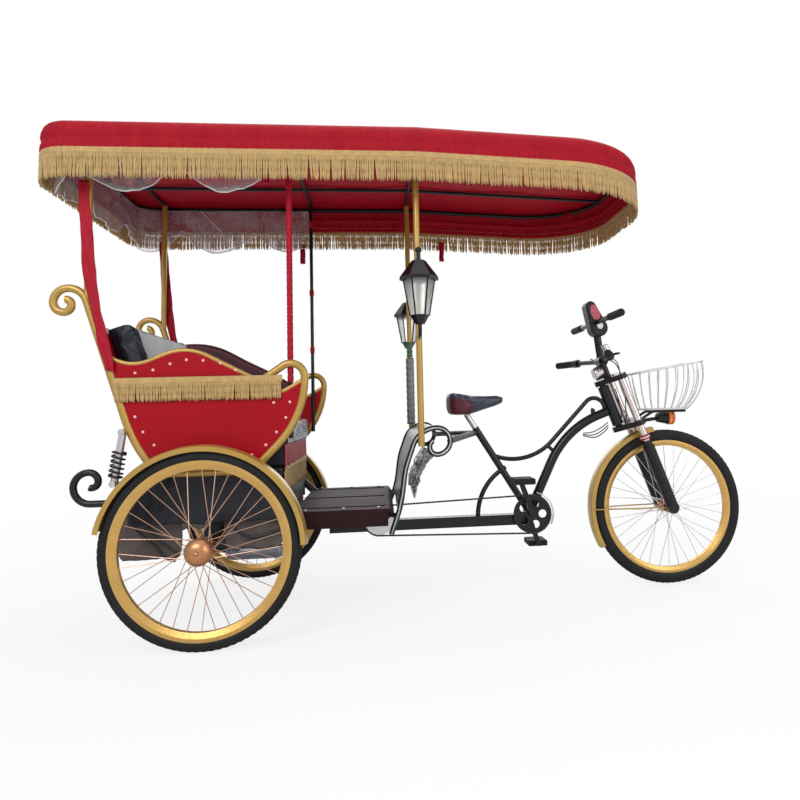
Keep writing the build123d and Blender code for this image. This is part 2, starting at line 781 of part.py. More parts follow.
middle = side_plane(0)
down_tube = formed_bar(middle, (crank_x, crank_z), down_heading, down_steps, down_tube_radius)
thin_tube = formed_bar(middle, thin_start, thin_heading, thin_steps, thin_tube_radius)
stay_tube = formed_bar(middle, stay_start, stay_heading, stay_steps, stay_tube_radius)
seat_tube = straight_bar(at(crank_x, 0, crank_z), at(seat_tube_top[0], 0, seat_tube_top[1]), seat_tube_radius)
strut = straight_bar(at(strut_ends[0][0], 0, strut_ends[0][1]), at(strut_ends[1][0], 0, strut_ends[1][1]),
                     strut_radius)
head_tube = straight_bar(on_head(0, 0, -head_tube_below), on_head(0, 0, head_tube_above), head_tube_radius)
with BuildPart() as main_frame:
    add([head_tube, down_tube, thin_tube, stay_tube, seat_tube, strut])
    with BuildSketch(side_plane(0)):
        with Locations(((beam_back + crank_x) / 2, beam_top_z - beam_height / 2)):
            Rectangle(crank_x - beam_back, beam_height)
    extrude(amount=beam_width / 2, both=True)
    for centre_x, centre_z, shell, half in (
        (crank_x, crank_z, shell_radius, shell_half),
        (jack_x, jack_z, jack_shell_radius, jack_shell_half),
    ):
        with BuildSketch(side_plane(0)):
            with Locations((centre_x, centre_z)):
                Circle(shell)
        extrude(amount=half, both=True)
        with BuildSketch(side_plane(0)):
            with Locations((centre_x, centre_z)):
                Circle(spindle_radius + bearing_gap)
        extrude(amount=half + cut_margin, both=True, mode=Mode.SUBTRACT)
    with BuildSketch(head.offset(-head_tube_below - cut_margin)):
        Circle(steerer_radius + bearing_gap)
    extrude(amount=head_tube_below + head_tube_above + 2 * cut_margin, mode=Mode.SUBTRACT)
save(main_frame, "main_frame")

# Saddle on its post
saddle_length = 252.0
saddle_behind = 348.0  # saddle's rear edge behind the crank
saddle_back = crank_x - saddle_behind
saddle_rear_half = 95.0
saddle_nose_half = 24.0
saddle_top_z = 862.0
saddle_nose_z = 842.0
saddle_rear_depth = 96.0
saddle_nose_depth = 26.0
saddle_deep_share = 0.3333333333333333  # part of the length that keeps the rear depth
saddle_round = 12.0
with BuildPart() as saddle_plan:
    with BuildSketch(Plane(at(0, 0, seat_tube_top[1]))):
        with Locations((saddle_back + saddle_rear_half / 2, saddle_rear_half / 2),
                       (saddle_back + saddle_rear_half / 2, -saddle_rear_half / 2)):
            Circle(saddle_rear_half / 2)
        with Locations((saddle_back + saddle_length - saddle_nose_half, 0)):
            Circle(saddle_nose_half)
        make_hull()
    extrude(amount=saddle_top_z)
saddle_front = saddle_back + saddle_length
with BuildPart() as saddle:
    with BuildSketch(side_plane(-saddle_rear_half)):
        with BuildLine():
            ThreePointArc(
                (saddle_back, saddle_top_z),
                (saddle_back + saddle_length / 2, (saddle_top_z + saddle_nose_z) / 2 - saddle_round),
                (saddle_front, saddle_nose_z),
            )
            Polyline(
                (saddle_front, saddle_nose_z),
                (saddle_front, saddle_nose_z - saddle_nose_depth),
                (saddle_back + saddle_deep_share * saddle_length, saddle_top_z - saddle_rear_depth),
                (saddle_back, saddle_top_z - saddle_rear_depth),
                (saddle_back, saddle_top_z),
            )
        make_face()
    extrude(amount=2 * saddle_rear_half)
    add(saddle_plan.part, mode=Mode.INTERSECT)
save(saddle, "saddle")

post_radius = 12.5
rail_bar_radius = 4.0
seat_lean = Vector(seat_tube_top[0] - crank_x, 0, seat_tube_top[1] - crank_z).normalized()
post_rise = (saddle_top_z - saddle_rear_depth - seat_tube_top[1]) / seat_lean.Z
with BuildPart() as seat_post:
    add(straight_bar(at(seat_tube_top[0], 0, seat_tube_top[1]),
                     Vector(*at(seat_tube_top[0], 0, seat_tube_top[1])) + seat_lean * post_rise, post_radius))
    add(saddle.part, mode=Mode.SUBTRACT)
save(seat_post, "seat_post")

# Crankset and pedals
tooth_pitch = 12.7
ring_teeth = 40
jack_teeth = 30
ring_pitch = ring_teeth * tooth_pitch / (2 * pi)
jack_pitch = jack_teeth * tooth_pitch / (2 * pi)
plate_thickness = 2.4
chain_side = 50.0  # the chain's middle, out on the right
crank_length = 160.0
crank_angle = 109.0
arm_thickness = 14.0
arm_width = 26.0
arm_gap = 12.0
pedal_axle_radius = 7.0
pedal_length = 96.0
pedal_width = 86.0
pedal_height = 24.0
pedal_round = 5.0
ring_hole_radius = 17.0
ring_spider = 5
ring_hole_share = 0.56  # the holes' circle in the pitch radius
arm_end_trim = arm_thickness / 4
arm_inner = chain_side + plate_thickness / 2 + arm_gap
arm_outer = arm_inner + arm_thickness


def crank_point(turn):
    """Pedal axle's place in the side view, for a crank at an angle."""
    return (crank_x + crank_length * cos(radians(turn)), crank_z + crank_length * sin(radians(turn)))


with BuildPart() as crankset:
    with BuildSketch(side_plane(chain_side - plate_thickness / 2)):
        with Locations((crank_x, crank_z)):
            Circle(ring_pitch)
            with PolarLocations(ring_hole_share * ring_pitch, ring_spider):
                Circle(ring_hole_radius, mode=Mode.SUBTRACT)
    extrude(amount=plate_thickness)
    with BuildSketch(side_plane(-arm_outer)):
        with Locations((crank_x, crank_z)):
            Circle(spindle_radius)
    extrude(amount=2 * arm_outer)
    for side, turn in ((near, crank_angle), (1, crank_angle + 180)):
        with BuildSketch(side_plane(arm_inner if side == near else -arm_outer)):
            with Locations((crank_x, crank_z)):
                Circle(arm_width / 2)
            with Locations(crank_point(turn)):
                Circle(arm_width / 2 - arm_end_trim)
            make_hull()
        extrude(amount=arm_thickness)
        with BuildSketch(side_plane(arm_outer if side == near else -arm_outer - pedal_length)):
            with Locations(crank_point(turn)):
                Circle(pedal_axle_radius)
        extrude(amount=pedal_length)
save(crankset, "crankset")

for side, turn, name in ((near, crank_angle, "pedal_right"), (1, crank_angle + 180, "pedal_left")):
    inner = arm_outer + running_gap
    with BuildPart() as pedal:
        with BuildSketch(side_plane(inner if side == near else -inner - pedal_length)):
            with Locations(crank_point(turn)):
                Rectangle(pedal_width, pedal_height)
        extrude(amount=pedal_length)
        fillet(edges().filter_by(Axis.Y), pedal_round)
        with BuildSketch(side_plane(inner - cut_margin if side == near else -inner - pedal_length)):
            with Locations(crank_point(turn)):
                Circle(pedal_axle_radius + bearing_gap)
        extrude(amount=pedal_length + cut_margin - pedal_round, mode=Mode.SUBTRACT)
    save(pedal, name)

# Chains: a grooved loop round two sprockets, the sprockets' rims standing in its groove
chain_width = 9.0
chain_height = 8.0
chain_slot = 4.0
slot_rise = chain_height / 8  # slot's floor above the pitch line


def chain_loop(side_distance, first, first_pitch, second, second_pitch):
    """Closed chain of runs tangent to two sprockets, outer plates joined by an outer strip."""
    with BuildPart() as loop:
        with BuildSketch(side_plane(side_distance - chain_width / 2)):
            for centre, pitch in ((first, first_pitch), (second, second_pitch)):
                with Locations(centre):
                    Circle(pitch + chain_height / 2)
            make_hull()
        extrude(amount=chain_width)
        with BuildSketch(side_plane(side_distance - chain_width / 2 - cut_margin)):
            for centre, pitch in ((first, first_pitch), (second, second_pitch)):
                with Locations(centre):
                    Circle(pitch - chain_height / 2)
            make_hull()
        extrude(amount=chain_width + 2 * cut_margin, mode=Mode.SUBTRACT)
        with BuildSketch(side_plane(side_distance - chain_slot / 2)):
            for centre, pitch in ((first, first_pitch), (second, second_pitch)):
                with Locations(centre):
                    Circle(pitch + slot_rise)
            make_hull()
        extrude(amount=chain_slot, mode=Mode.SUBTRACT)
    return loop.part


rear_teeth = 24
rear_jack_teeth = 14
rear_pitch = rear_teeth * tooth_pitch / (2 * pi)
rear_jack_pitch = rear_jack_teeth * tooth_pitch / (2 * pi)
rear_chain_side = -60.0
with BuildPart() as chains:
    add(chain_loop(chain_side, (crank_x, crank_z), ring_pitch, (jack_x, jack_z), jack_pitch))
    add(chain_loop(rear_chain_side, (jack_x, jack_z), rear_jack_pitch, (0, wheel_radius), rear_pitch))
save(chains, "chains")
with BuildPart() as jackshaft:
    with BuildSketch(side_plane(rear_chain_side - plate_thickness)):
        with Locations((jack_x, jack_z)):
            Circle(spindle_radius)
    extrude(amount=chain_side - rear_chain_side + 2 * plate_thickness)
    for distance, pitch in ((chain_side, jack_pitch), (rear_chain_side, rear_jack_pitch)):
        with BuildSketch(side_plane(distance - plate_thickness / 2)):
            with Locations((jack_x, jack_z)):
                Circle(pitch)
        extrude(amount=plate_thickness)
    # Sprocket on the axle housing, at the rear chain's other end
    with BuildSketch(side_plane(rear_chain_side - plate_thickness / 2)):
        with Locations((0, wheel_radius)):
            Circle(rear_pitch)
            Circle(housing_radius, mode=Mode.SUBTRACT)
    extrude(amount=plate_thickness)
save(jackshaft, "jackshaft")

# Bright guard over the chainring's front and top
guard_inner = ring_pitch + chain_height / 2 + running_gap
guard_depth = 10.0
guard_thickness = 3.0
guard_from = -30.0
guard_to = 75.0
guard_bracket_radius = 4.0
with BuildPart() as chain_guard:
    guard_ahead = (cos(radians(guard_from)), 0, sin(radians(guard_from)))
    guard_along = (-sin(radians(guard_from)), 0, cos(radians(guard_from)))
    with BuildSketch(Plane(at(crank_x, -chain_side, crank_z), x_dir=guard_ahead, z_dir=guard_along)):
        with Locations((guard_inner + guard_thickness / 2, 0)):
            Rectangle(guard_thickness, 2 * guard_depth)
    revolve(axis=Axis(at(crank_x, 0, crank_z), (0, -1, 0)), revolution_arc=guard_to - guard_from)
    # Bracket in from the guard's inner edge to the down tube
    guard_foot = guard_inner + guard_thickness / 2
    bracket_x = crank_x + guard_foot * cos(radians(down_heading))
    bracket_z = crank_z + guard_foot * sin(radians(down_heading))
    add(straight_bar(at(bracket_x, -chain_side, bracket_z), at(bracket_x, 0, bracket_z), guard_bracket_radius))
    add(main_frame.part, mode=Mode.SUBTRACT)
save(chain_guard, "chain_guard")

# Carriage sides: one gold rail each, from the top scroll down the back, under and up to the front hook
rail_radius = 14.0
trim_radius = 8.0
panel_length = 690.0
sill_z = 590.0
panel_thickness = 12.0
front_rail_shares = (
    (0.191, 0.087, 46.0),
    (0.143, 0.507, 44.0),
    (0.0, 0.072, 125.0),
    (0.116, 0.0, 0.0),
)
back_rail_shares = (
    (0.203, 0.087, -51.0),
    (0.0, 0.783, -21.4),
    (0.638, 0.094, 72.4),
    (0.0, 0.072, 90.0),
    (0.0, 0.052, 90.0),
    (0.0, 0.037, 90.0),
    (0.0, 0.029, 90.0),
)
wave_start_shares = (-0.518, 0.633)  # forward of the axle and above the sill
wave_heading = -48.0
wave_shares = (
    (0.0, 0.203, 70.0),
    (0.087, 0.246, -50.0),
    (0.275, 0.174, -20.0),
    (0.0, 0.094, 78.0),
    (0.087, 0.0, 0.0),
)
front_rail_steps = scaled(front_rail_shares, panel_length)
back_rail_steps = scaled(back_rail_shares, panel_length)
wave_steps = scaled(wave_shares, panel_length)
wave_start = (wave_start_shares[0] * panel_length, sill_z + wave_start_shares[1] * panel_length)
sill = (0, sill_z)
outer_side = side_plane(carriage_half)
front_rail = formed_bar(outer_side, sill, 0, front_rail_steps, rail_radius)
back_rail = formed_bar(outer_side, sill, 180, back_rail_steps, rail_radius)
wave_trim = formed_bar(outer_side, wave_start, wave_heading, wave_steps, trim_radius)
bearer_places = (-120.0, 150.0)
bearer_radius = 13.0
bearers = [straight_bar(at(place, -carriage_half, sill_z), at(place, carriage_half, sill_z), bearer_radius)
           for place in bearer_places]
with BuildPart() as carriage_rails:
    add([front_rail, back_rail, wave_trim])
    mirror(about=Plane.XZ)
    add(bearers)
save(carriage_rails, "carriage_rails")

with BuildPart() as side_panels:
    with BuildSketch(side_plane(carriage_half + panel_thickness / 2)):
        with BuildLine():
            front_end = trace(sill, 0, front_rail_steps[:2])
            back_end = trace(sill, 180, back_rail_steps[:2] + [(back_rail_steps[2][0], 0, 0)])
            Line(front_end, back_end)
        make_face()
        with BuildLine():
            wave_end = trace(wave_start, wave_heading, wave_steps)
            above = sill_z + 2 * panel_length
            Polyline(
                wave_end,
                (panel_length, wave_end[1]),
                (panel_length, above),
                (-panel_length, above),
                (-panel_length, wave_start[1]),
                wave_start,
            )
        make_face(mode=Mode.SUBTRACT)
    extrude(amount=-panel_thickness)
    mirror(about=Plane.XZ)
    add(carriage_rails.part, mode=Mode.SUBTRACT)
save(side_panels, "side_panels")

# Back: a sheet from sill to above the backrest, behind the rails' middle line
back_thickness = 10.0
back_sheet_top_share = 0.79  # part of the straight back rail that it follows
back_start = (-back_rail_steps[0][0], sill_z)
back_steps = [
    (0, *back_rail_steps[0][1:]),
    back_rail_steps[1],
    (back_rail_steps[2][0] * back_sheet_top_share, 0, 0),
]
back_half = carriage_half - rail_radius
with BuildPart() as back_panel:
    add(formed_strip(side_plane(0), back_start, 180, back_steps, back_thickness, 2 * back_half))
save(back_panel, "back_panel")

# Canopy: plan with rounded corners, level to the lamp posts and then sloping down to the front
canopy_stop = 159.0  # canopy's front edge behind the front axle
canopy_front = wheelbase - canopy_stop
canopy_overhang = 100.0  # beyond the rails, each side
canopy_half = carriage_half + canopy_overhang
canopy_top_z = 1833.0
valance_z = 1708.0
fringe_z = 1617.0
fringe_lap = 24.0  # braid sewn over the valance's hem
fringe_thickness = 4.0
cover_thickness = 8.0
canopy_edge_round = 26.0
rear_corner = 120.0
front_corner = 380.0
break_x = 763.0  # where the slope starts, over the lamp posts
droop_angle = 2.8
droop = tan(radians(droop_angle))
cover_tail = canopy_tail - fringe_thickness


def canopy_block(margin, top_z, bottom_z):
    """Block under the canopy's plan, grown by a margin, between two levels that slope at the front."""
    reach = canopy_front + canopy_half
    with BuildPart() as plan_block:
        with BuildSketch(Plane(at((canopy_front - cover_tail) / 2, 0, bottom_z - canopy_half))):
            outline = Rectangle(canopy_front + cover_tail + 2 * margin, 2 * (canopy_half + margin))
            fillet(outline.vertices().group_by(Axis.X)[0], rear_corner + margin)
            fillet(vertices().group_by(Axis.X)[-1], front_corner + margin)
        extrude(amount=top_z - bottom_z + 2 * canopy_half)
    with BuildPart() as block:
        with BuildSketch(side_plane(-canopy_half - margin - cut_margin)):
            with BuildLine():
                Polyline(
                    (-reach, bottom_z),
                    (break_x, bottom_z),
                    (reach, bottom_z - (reach - break_x) * droop),
                    (reach, top_z - (reach - break_x) * droop),
                    (break_x, top_z),
                    (-reach, top_z),
                    close=True,
                )
            make_face()
        extrude(amount=2 * (canopy_half + margin + cut_margin))
        add(plan_block.part, mode=Mode.INTERSECT)
    return block.part


outer_block = canopy_block(0, canopy_top_z, valance_z)
inner_block = canopy_block(-cover_thickness, canopy_top_z - cover_thickness, valance_z - cut_margin)
lid_inset = 60.0  # the flat top sheets inside the rounded rim
lid = canopy_block(-lid_inset, canopy_top_z, canopy_top_z - cover_thickness)
lid_opening = canopy_block(-lid_inset, canopy_top_z + cut_margin, canopy_top_z - cover_thickness - cut_margin)
with BuildPart() as canopy_cover:
    add(outer_block)
    fillet(edges().group_by(Axis.Z)[-1], canopy_edge_round)
    add(inner_block, mode=Mode.SUBTRACT)
    add(lid_opening, mode=Mode.SUBTRACT)
save(canopy_cover, "canopy_cover")

# Top: a level sheet and a sloping one that meet over the lamp posts
with BuildPart() as canopy_top:
    add(lid)
    with Locations(at(break_x, 0, canopy_top_z)):
        Box(soft_gap, 2 * canopy_half, 2 * (cover_thickness + cut_margin), mode=Mode.SUBTRACT)
save(canopy_top, "canopy_top")

with BuildPart() as canopy_fringe:
    add(canopy_block(fringe_thickness, valance_z + fringe_lap, fringe_z))
    add(canopy_block(0, valance_z + fringe_lap + cut_margin, fringe_z - cut_margin), mode=Mode.SUBTRACT)
save(canopy_fringe, "canopy_fringe")

# Canopy's tube frame: an edge tube in two level halves, cross tubes and two long tubes
frame_tube_radius = 9.0
frame_inset = 26.0  # edge tube's middle inside the cover's outer face
sleeve_half = 14.0  # sleeves join the tubes where the slope starts
sleeve_radius = 10.5
frame_z = canopy_top_z - cover_thickness - sleeve_radius - soft_gap - sleeve_half * droop
front_post_x = 290.0
back_post_x = -408.0
long_tube_half = 170.0
edge_half = canopy_half - frame_inset
edge_tail = cover_tail - frame_inset
slope_plane = Plane(at(break_x, 0, frame_z), x_dir=(cos(radians(droop_angle)), 0, -sin(radians(droop_angle))),
                    z_dir=(sin(radians(droop_angle)), 0, cos(radians(droop_angle))))
slope_reach = (canopy_front - frame_inset - break_x) / cos(radians(droop_angle))
rear_bend = rear_corner - frame_inset
front_bend = front_corner - frame_inset


def edge_half_tube(plane, from_x, to_x, bend):
    """Half of the edge tube: out along one side, across an end with two bends, and back."""
    with BuildPart() as tube:
        with BuildLine(plane) as path:
            FilletPolyline((from_x, -edge_half), (to_x, -edge_half), (to_x, edge_half), (from_x, edge_half),
                           radius=bend)
        with BuildSketch(Plane(path.wire() @ 0, z_dir=path.wire() % 0)):
            Circle(frame_tube_radius)
        sweep(path=path.wire())
    return tube.part


level_frame_plane = Plane(at(break_x, 0, frame_z))
frame_bar_radius = 7.5
edge_tubes = [
    edge_half_tube(level_frame_plane, -frame_bar_radius, -edge_tail - break_x, rear_bend),
    edge_half_tube(slope_plane, frame_bar_radius, slope_reach, front_bend),
]
cross_places = (back_post_x, front_post_x, break_x)
cross_bars = [straight_bar(at(place, -edge_half, frame_z), at(place, edge_half, frame_z), frame_bar_radius)
              for place in cross_places]
cross_clears = [straight_bar(at(place, -edge_half, frame_z), at(place, edge_half, frame_z),
                             frame_bar_radius + soft_gap)
                for place in cross_places]
long_bars = []
for side in sides:
    long_bars.append(straight_bar(at(-edge_tail, side * long_tube_half, frame_z),
                                  at(break_x, side * long_tube_half, frame_z), frame_bar_radius))
    long_bars.append(straight_bar(slope_plane.from_local_coords((0, side * long_tube_half, 0)),
                                  slope_plane.from_local_coords((slope_reach, side * long_tube_half, 0)),
                                  frame_bar_radius))
sleeves = [straight_bar(at(break_x - sleeve_half, place, frame_z), at(break_x + sleeve_half, place, frame_z),
                        sleeve_radius)
           for place in (-edge_half, edge_half)]
with BuildPart() as canopy_frame:
    add(edge_tubes)
    add(sleeves)
save(canopy_frame, "canopy_frame")

# Bars between the edge tubes: whole cross bars, and the long bars in lengths that stop at them
with BuildPart() as canopy_bars:
    add(long_bars)
    add(cross_clears, mode=Mode.SUBTRACT)
    add(cross_bars)
    add(canopy_frame.part, mode=Mode.SUBTRACT)
save(canopy_bars, "canopy_bars")

# Posts: the back pair stands on the gold rails, the front pair in the panels' valleys
back_post_radius = 12.0
front_post_radius = 8.0
back_post_foot = (-412.0, 1196.0)
front_post_foot_z = 700.0
front_post_sink = 1.0  # let into the panel's inner face
front_post_half = carriage_half - panel_thickness / 2 - front_post_radius + front_post_sink
with BuildPart() as back_posts:
    for side in sides:
        add(straight_bar(at(back_post_foot[0], side * carriage_half, back_post_foot[1]),
                         at(back_post_x, side * carriage_half, frame_z), back_post_radius))
    add(canopy_bars.part, mode=Mode.SUBTRACT)
    add(carriage_rails.part, mode=Mode.SUBTRACT)
save(back_posts, "back_posts")
with BuildPart() as front_posts:
    for side in sides:
        add(straight_bar(at(front_post_x, side * front_post_half, front_post_foot_z),
                         at(front_post_x, side * front_post_half, frame_z), front_post_radius))
    add(canopy_bars.part, mode=Mode.SUBTRACT)
    add(carriage_rails.part, mode=Mode.SUBTRACT)
    add(side_panels.part, mode=Mode.SUBTRACT)
save(front_posts, "front_posts")

# Chassis under the carriage: stepped side rails, cross tubes, rear scrolls and axle hangers
chassis_inset = 80.0
chassis_half = carriage_half - chassis_inset
chassis_radius = 16.0
chassis_z = 497.0
chassis_back = -300.0
chassis_front = 640.0
floor_rail_z = 402.0
step_from = 180.0
step_bend = 100.0
step_angle = 45.0
step_run = (chassis_z - floor_rail_z - 2 * step_bend * (1 - cos(radians(step_angle)))) / sin(radians(step_angle))
step_reach = 2 * step_bend * sin(radians(step_angle)) + step_run * cos(radians(step_angle))
chassis_steps = (
    (step_from - chassis_back, step_bend, -step_angle),
    (step_run, step_bend, step_angle),
    (chassis_front - step_from - step_reach, 0, 0),
)
scroll_reach = 20.0  # outside the gold rails
scroll_half = carriage_half + scroll_reach
scroll_radius = 12.0
scroll_steps = (
    (85.0, 58.0, -90.0),
    (0, 50.0, -90.0),
    (0, 32.0, -90.0),
    (0, 21.0, -110.0),
)
hanger_width = 60.0
hanger_thickness = 10.0
floor_cross_places = (375.0, 500.0)
battery_cross_x = 168.0
riser_radius = 12.0
dash_stub_x = 669.0
dash_stub_radius = 10.0
hitch_thickness = 8.0
chassis_rails = [formed_bar(side_plane(side * chassis_half), (chassis_back, chassis_z), 0, chassis_steps,
                            chassis_radius) for side in sides]
rear_scrolls = [formed_bar(side_plane(side * scroll_half), (chassis_back, chassis_z), 180, scroll_steps,
                           scroll_radius) for side in sides]
chassis_cross = [straight_bar(at(chassis_back, -scroll_half, chassis_z), at(chassis_back, scroll_half, chassis_z),
                              chassis_radius)]
chassis_cross += [straight_bar(at(place, -chassis_half, floor_rail_z), at(place, chassis_half, floor_rail_z),
                               bearer_radius) for place in floor_cross_places]
chassis_cross.append(straight_bar(at(battery_cross_x, -chassis_half, chassis_z),
                                  at(battery_cross_x, chassis_half, chassis_z), bearer_radius))
seat_risers = [straight_bar(at(place, side * chassis_half, chassis_z), at(place, side * chassis_half, sill_z),
                            riser_radius) for place in bearer_places for side in sides]
dash_stubs = [straight_bar(at(chassis_front, side * chassis_half, floor_rail_z),
                           at(dash_stub_x, side * dash_half, floor_rail_z), dash_stub_radius) for side in sides]
with BuildPart() as chassis:
    add([*chassis_rails, *rear_scrolls, *chassis_cross, *seat_risers, *dash_stubs])
    for side in sides:
        with BuildSketch(side_plane(side * chassis_half)):
            with Locations((0, (chassis_z + wheel_radius) / 2)):
                Rectangle(hanger_width, chassis_z - wheel_radius)
        extrude(amount=hanger_thickness / 2, both=True)
    # Hangers from the floor's cross tubes down to the beam
    for place in floor_cross_places:
        with BuildSketch(side_plane(0)):
            with Locations((place, (floor_rail_z + beam_top_z) / 2)):
                Rectangle(hitch_thickness, floor_rail_z - beam_top_z)
        extrude(amount=beam_width / 2, both=True)
    add(main_frame.part, mode=Mode.SUBTRACT)
    add(carriage_rails.part, mode=Mode.SUBTRACT)
    with BuildSketch(side_plane(-chassis_half - cut_margin - hanger_thickness)):
        with Locations((0, wheel_radius)):
            Circle(housing_radius)
    extrude(amount=2 * (chassis_half + cut_margin + hanger_thickness), mode=Mode.SUBTRACT)
save(chassis, "chassis")

# Shock units between the gold back rails and the scrolls
shock_half = scroll_half
shock_top = (-281.0, 741.0)
shock_foot = (-309.0, 563.0)
shock_eye_radius = 11.0
shock_body_radius = 13.0
coil_radius = 25.0
coil_wire = 6.0
coil_turns = 5
coil_share = 0.52  # lower part of the unit that the coil covers
shock_axis = Vector(shock_top[0] - shock_foot[0], 0, shock_top[1] - shock_foot[1])
shock_span = shock_axis.length
with BuildPart() as shock_bodies:
    for side in sides:
        foot = Vector(*at(shock_foot[0], side * shock_half, shock_foot[1]))
        with BuildSketch(Plane(foot, z_dir=shock_axis)):
            Circle(shock_body_radius)
        extrude(amount=shock_span)
        for eye in (shock_top, shock_foot):
            with BuildSketch(side_plane(-side * shock_half)):
                with Locations(eye):
                    Circle(shock_eye_radius)
            extrude(amount=shock_half - carriage_half, both=True)
    add(carriage_rails.part, mode=Mode.SUBTRACT)
save(shock_bodies, "shock_bodies")

coil_pitch = coil_share * shock_span / coil_turns
with BuildPart() as shock_coils:
    for side in sides:
        foot = Vector(*at(shock_foot[0], side * shock_half, shock_foot[1]))
        coil_plane = Plane(foot, x_dir=(0, 1, 0), z_dir=shock_axis)
        for turn in range(coil_turns):
            coil_level = coil_pitch * (turn + 1) + shock_eye_radius
            with BuildSketch(coil_plane.offset(coil_level - coil_pitch / 2)):
                Circle(coil_radius)
                Circle(shock_body_radius, mode=Mode.SUBTRACT)
            extrude(amount=coil_pitch - coil_wire / 2)
            with BuildSketch(coil_plane.offset(coil_level + coil_pitch / 2 - coil_wire / 2)):
                Circle(coil_radius - coil_wire)
                Circle(shock_body_radius, mode=Mode.SUBTRACT)
            extrude(amount=coil_wire / 2)
save(shock_coils, "shock_coils")

# Dash: two side bars that curl over at the top, a panel between them, and the lamp posts beside them
dash_radius = 10.0
dash_height = 390.0
dash_foot = (645.0, 335.0)
dash_heading = 70.0
dash_shares = (
    (0.18, 1.026, 2.0),
    (0.0, 1.026, 10.0),
    (0.154, 0.769, -12.0),
    (0.154, 0.244, -70.0),
    (0.0, 0.128, -180.0),
    (0.0, 0.072, -150.0),
)
dash_thickness = 6.0
dash_steps = scaled(dash_shares, dash_height)
top_tube_start = (872.0, 671.0)
top_tube_end_z = 684.0
with BuildPart() as dash_frame:
    for side in sides:
        add(formed_bar(side_plane(side * dash_half), dash_foot, dash_heading, dash_steps, dash_radius))
        add(straight_bar(at(top_tube_start[0], side * dash_half, top_tube_start[1]),
                         at(seat_tube_top[0], 0, top_tube_end_z), top_tube_radius))
    add(chassis.part, mode=Mode.SUBTRACT)
    add(main_frame.part, mode=Mode.SUBTRACT)
save(dash_frame, "dash_frame")
with BuildLine(side_plane(0)):
    panel_foot = trace(dash_foot, dash_heading, dash_steps[:1])
with BuildPart() as dash_panel:
    add(formed_strip(side_plane(0), panel_foot, dash_heading + dash_steps[0][2], dash_steps[1:4], dash_thickness,
                     2 * dash_half))
    add(dash_frame.part, mode=Mode.SUBTRACT)
save(dash_panel, "dash_panel")

lamp_post_inset = 20.0
lamp_post_half = carriage_half - lamp_post_inset
lamp_post_radius = 12.0
lamp_post_foot_z = 655.0
with BuildPart() as lamp_posts:
    for side in sides:
        add(straight_bar(at(break_x, side * lamp_post_half, lamp_post_foot_z),
                         at(break_x, side * lamp_post_half, frame_z), lamp_post_radius))
    add(canopy_bars.part, mode=Mode.SUBTRACT)
    add(dash_frame.part, mode=Mode.SUBTRACT)
save(lamp_posts, "lamp_posts")

# Lanterns: six-sided, narrowing downwards, each on an arm out from its post
lantern_reach = 82.0  # lantern's middle out from its post
lantern_half = lamp_post_half + lantern_reach
lantern_height = 285.0
lantern_foot_z = 1101.0
lantern_sides = 6
lantern_levels = (  # level and corner radius, as shares of the lantern's height
    (0.116, 0.123),
    (0.565, 0.20),
    (0.607, 0.25),
    (0.821, 0.09),
)
lantern_foot_share = 0.06
finial_radius = 8.0
finial_ball = 12.0
lantern_bar_radius = 3.0
lantern_arm_z = 1062.0
lantern_arm_radius = 7.0


def lantern_level(number, side):
    """Plane and corner radius of one of the lantern's levels."""
    level, corner = lantern_levels[number]
    return Plane(at(break_x, side * lantern_half, lantern_foot_z + level * lantern_height)), corner * lantern_height


with BuildPart() as lantern_glass:
    for side in sides:
        for number in (0, 1):
            level_plane, corner = lantern_level(number, side)
            with BuildSketch(level_plane):
                RegularPolygon(corner, lantern_sides)
        loft()
save(lantern_glass, "lantern_glass")

with BuildPart() as lantern_frames:
    for side in sides:
        foot_plane = Plane(at(break_x, side * lantern_half, lantern_foot_z))
        low_plane, low_corner = lantern_level(0, side)
        eave_plane, eave_corner = lantern_level(1, side)
        with BuildSketch(foot_plane):
            RegularPolygon(lantern_foot_share * lantern_height, lantern_sides)
        with BuildSketch(low_plane):
            RegularPolygon(low_corner, lantern_sides)
        loft()
        with BuildSketch(eave_plane):
            RegularPolygon(lantern_levels[2][1] * lantern_height, lantern_sides)
        extrude(amount=(lantern_levels[2][0] - lantern_levels[1][0]) * lantern_height)
        for number in (2, 3):
            level_plane, corner = lantern_level(number, side)
            with BuildSketch(level_plane):
                RegularPolygon(corner, lantern_sides)
        loft()
        for number in range(lantern_sides):
            turn = radians(number * 360 / lantern_sides)
            spot = Vector(cos(turn), sin(turn), 0)
            bar_foot = low_plane.origin + spot * low_corner
            bar_head = eave_plane.origin + spot * eave_corner
            overrun = (bar_head - bar_foot).normalized() * lantern_bar_radius
            add(straight_bar(bar_foot - overrun, bar_head + overrun, lantern_bar_radius))
        finial_foot = lantern_level(3, side)[0]
        with BuildSketch(finial_foot):
            Circle(finial_radius)
        extrude(amount=lantern_height + lantern_foot_z - finial_ball - finial_foot.origin.Z)
        with Locations(at(break_x, side * lantern_half, lantern_foot_z + lantern_height - finial_ball)):
            Sphere(finial_ball)
        # Arm out from the post and up into the lantern's foot
        add(bent_bar([at(break_x, side * lamp_post_half, lantern_arm_z),
                      at(break_x, side * lantern_half, lantern_arm_z),
                      at(break_x, side * lantern_half, lantern_foot_z + finial_ball)],
                     2 * finial_ball, lantern_arm_radius))
    add(lantern_glass.part, mode=Mode.SUBTRACT)
    add(lamp_posts.part, mode=Mode.SUBTRACT)
save(lantern_frames, "lantern_frames")

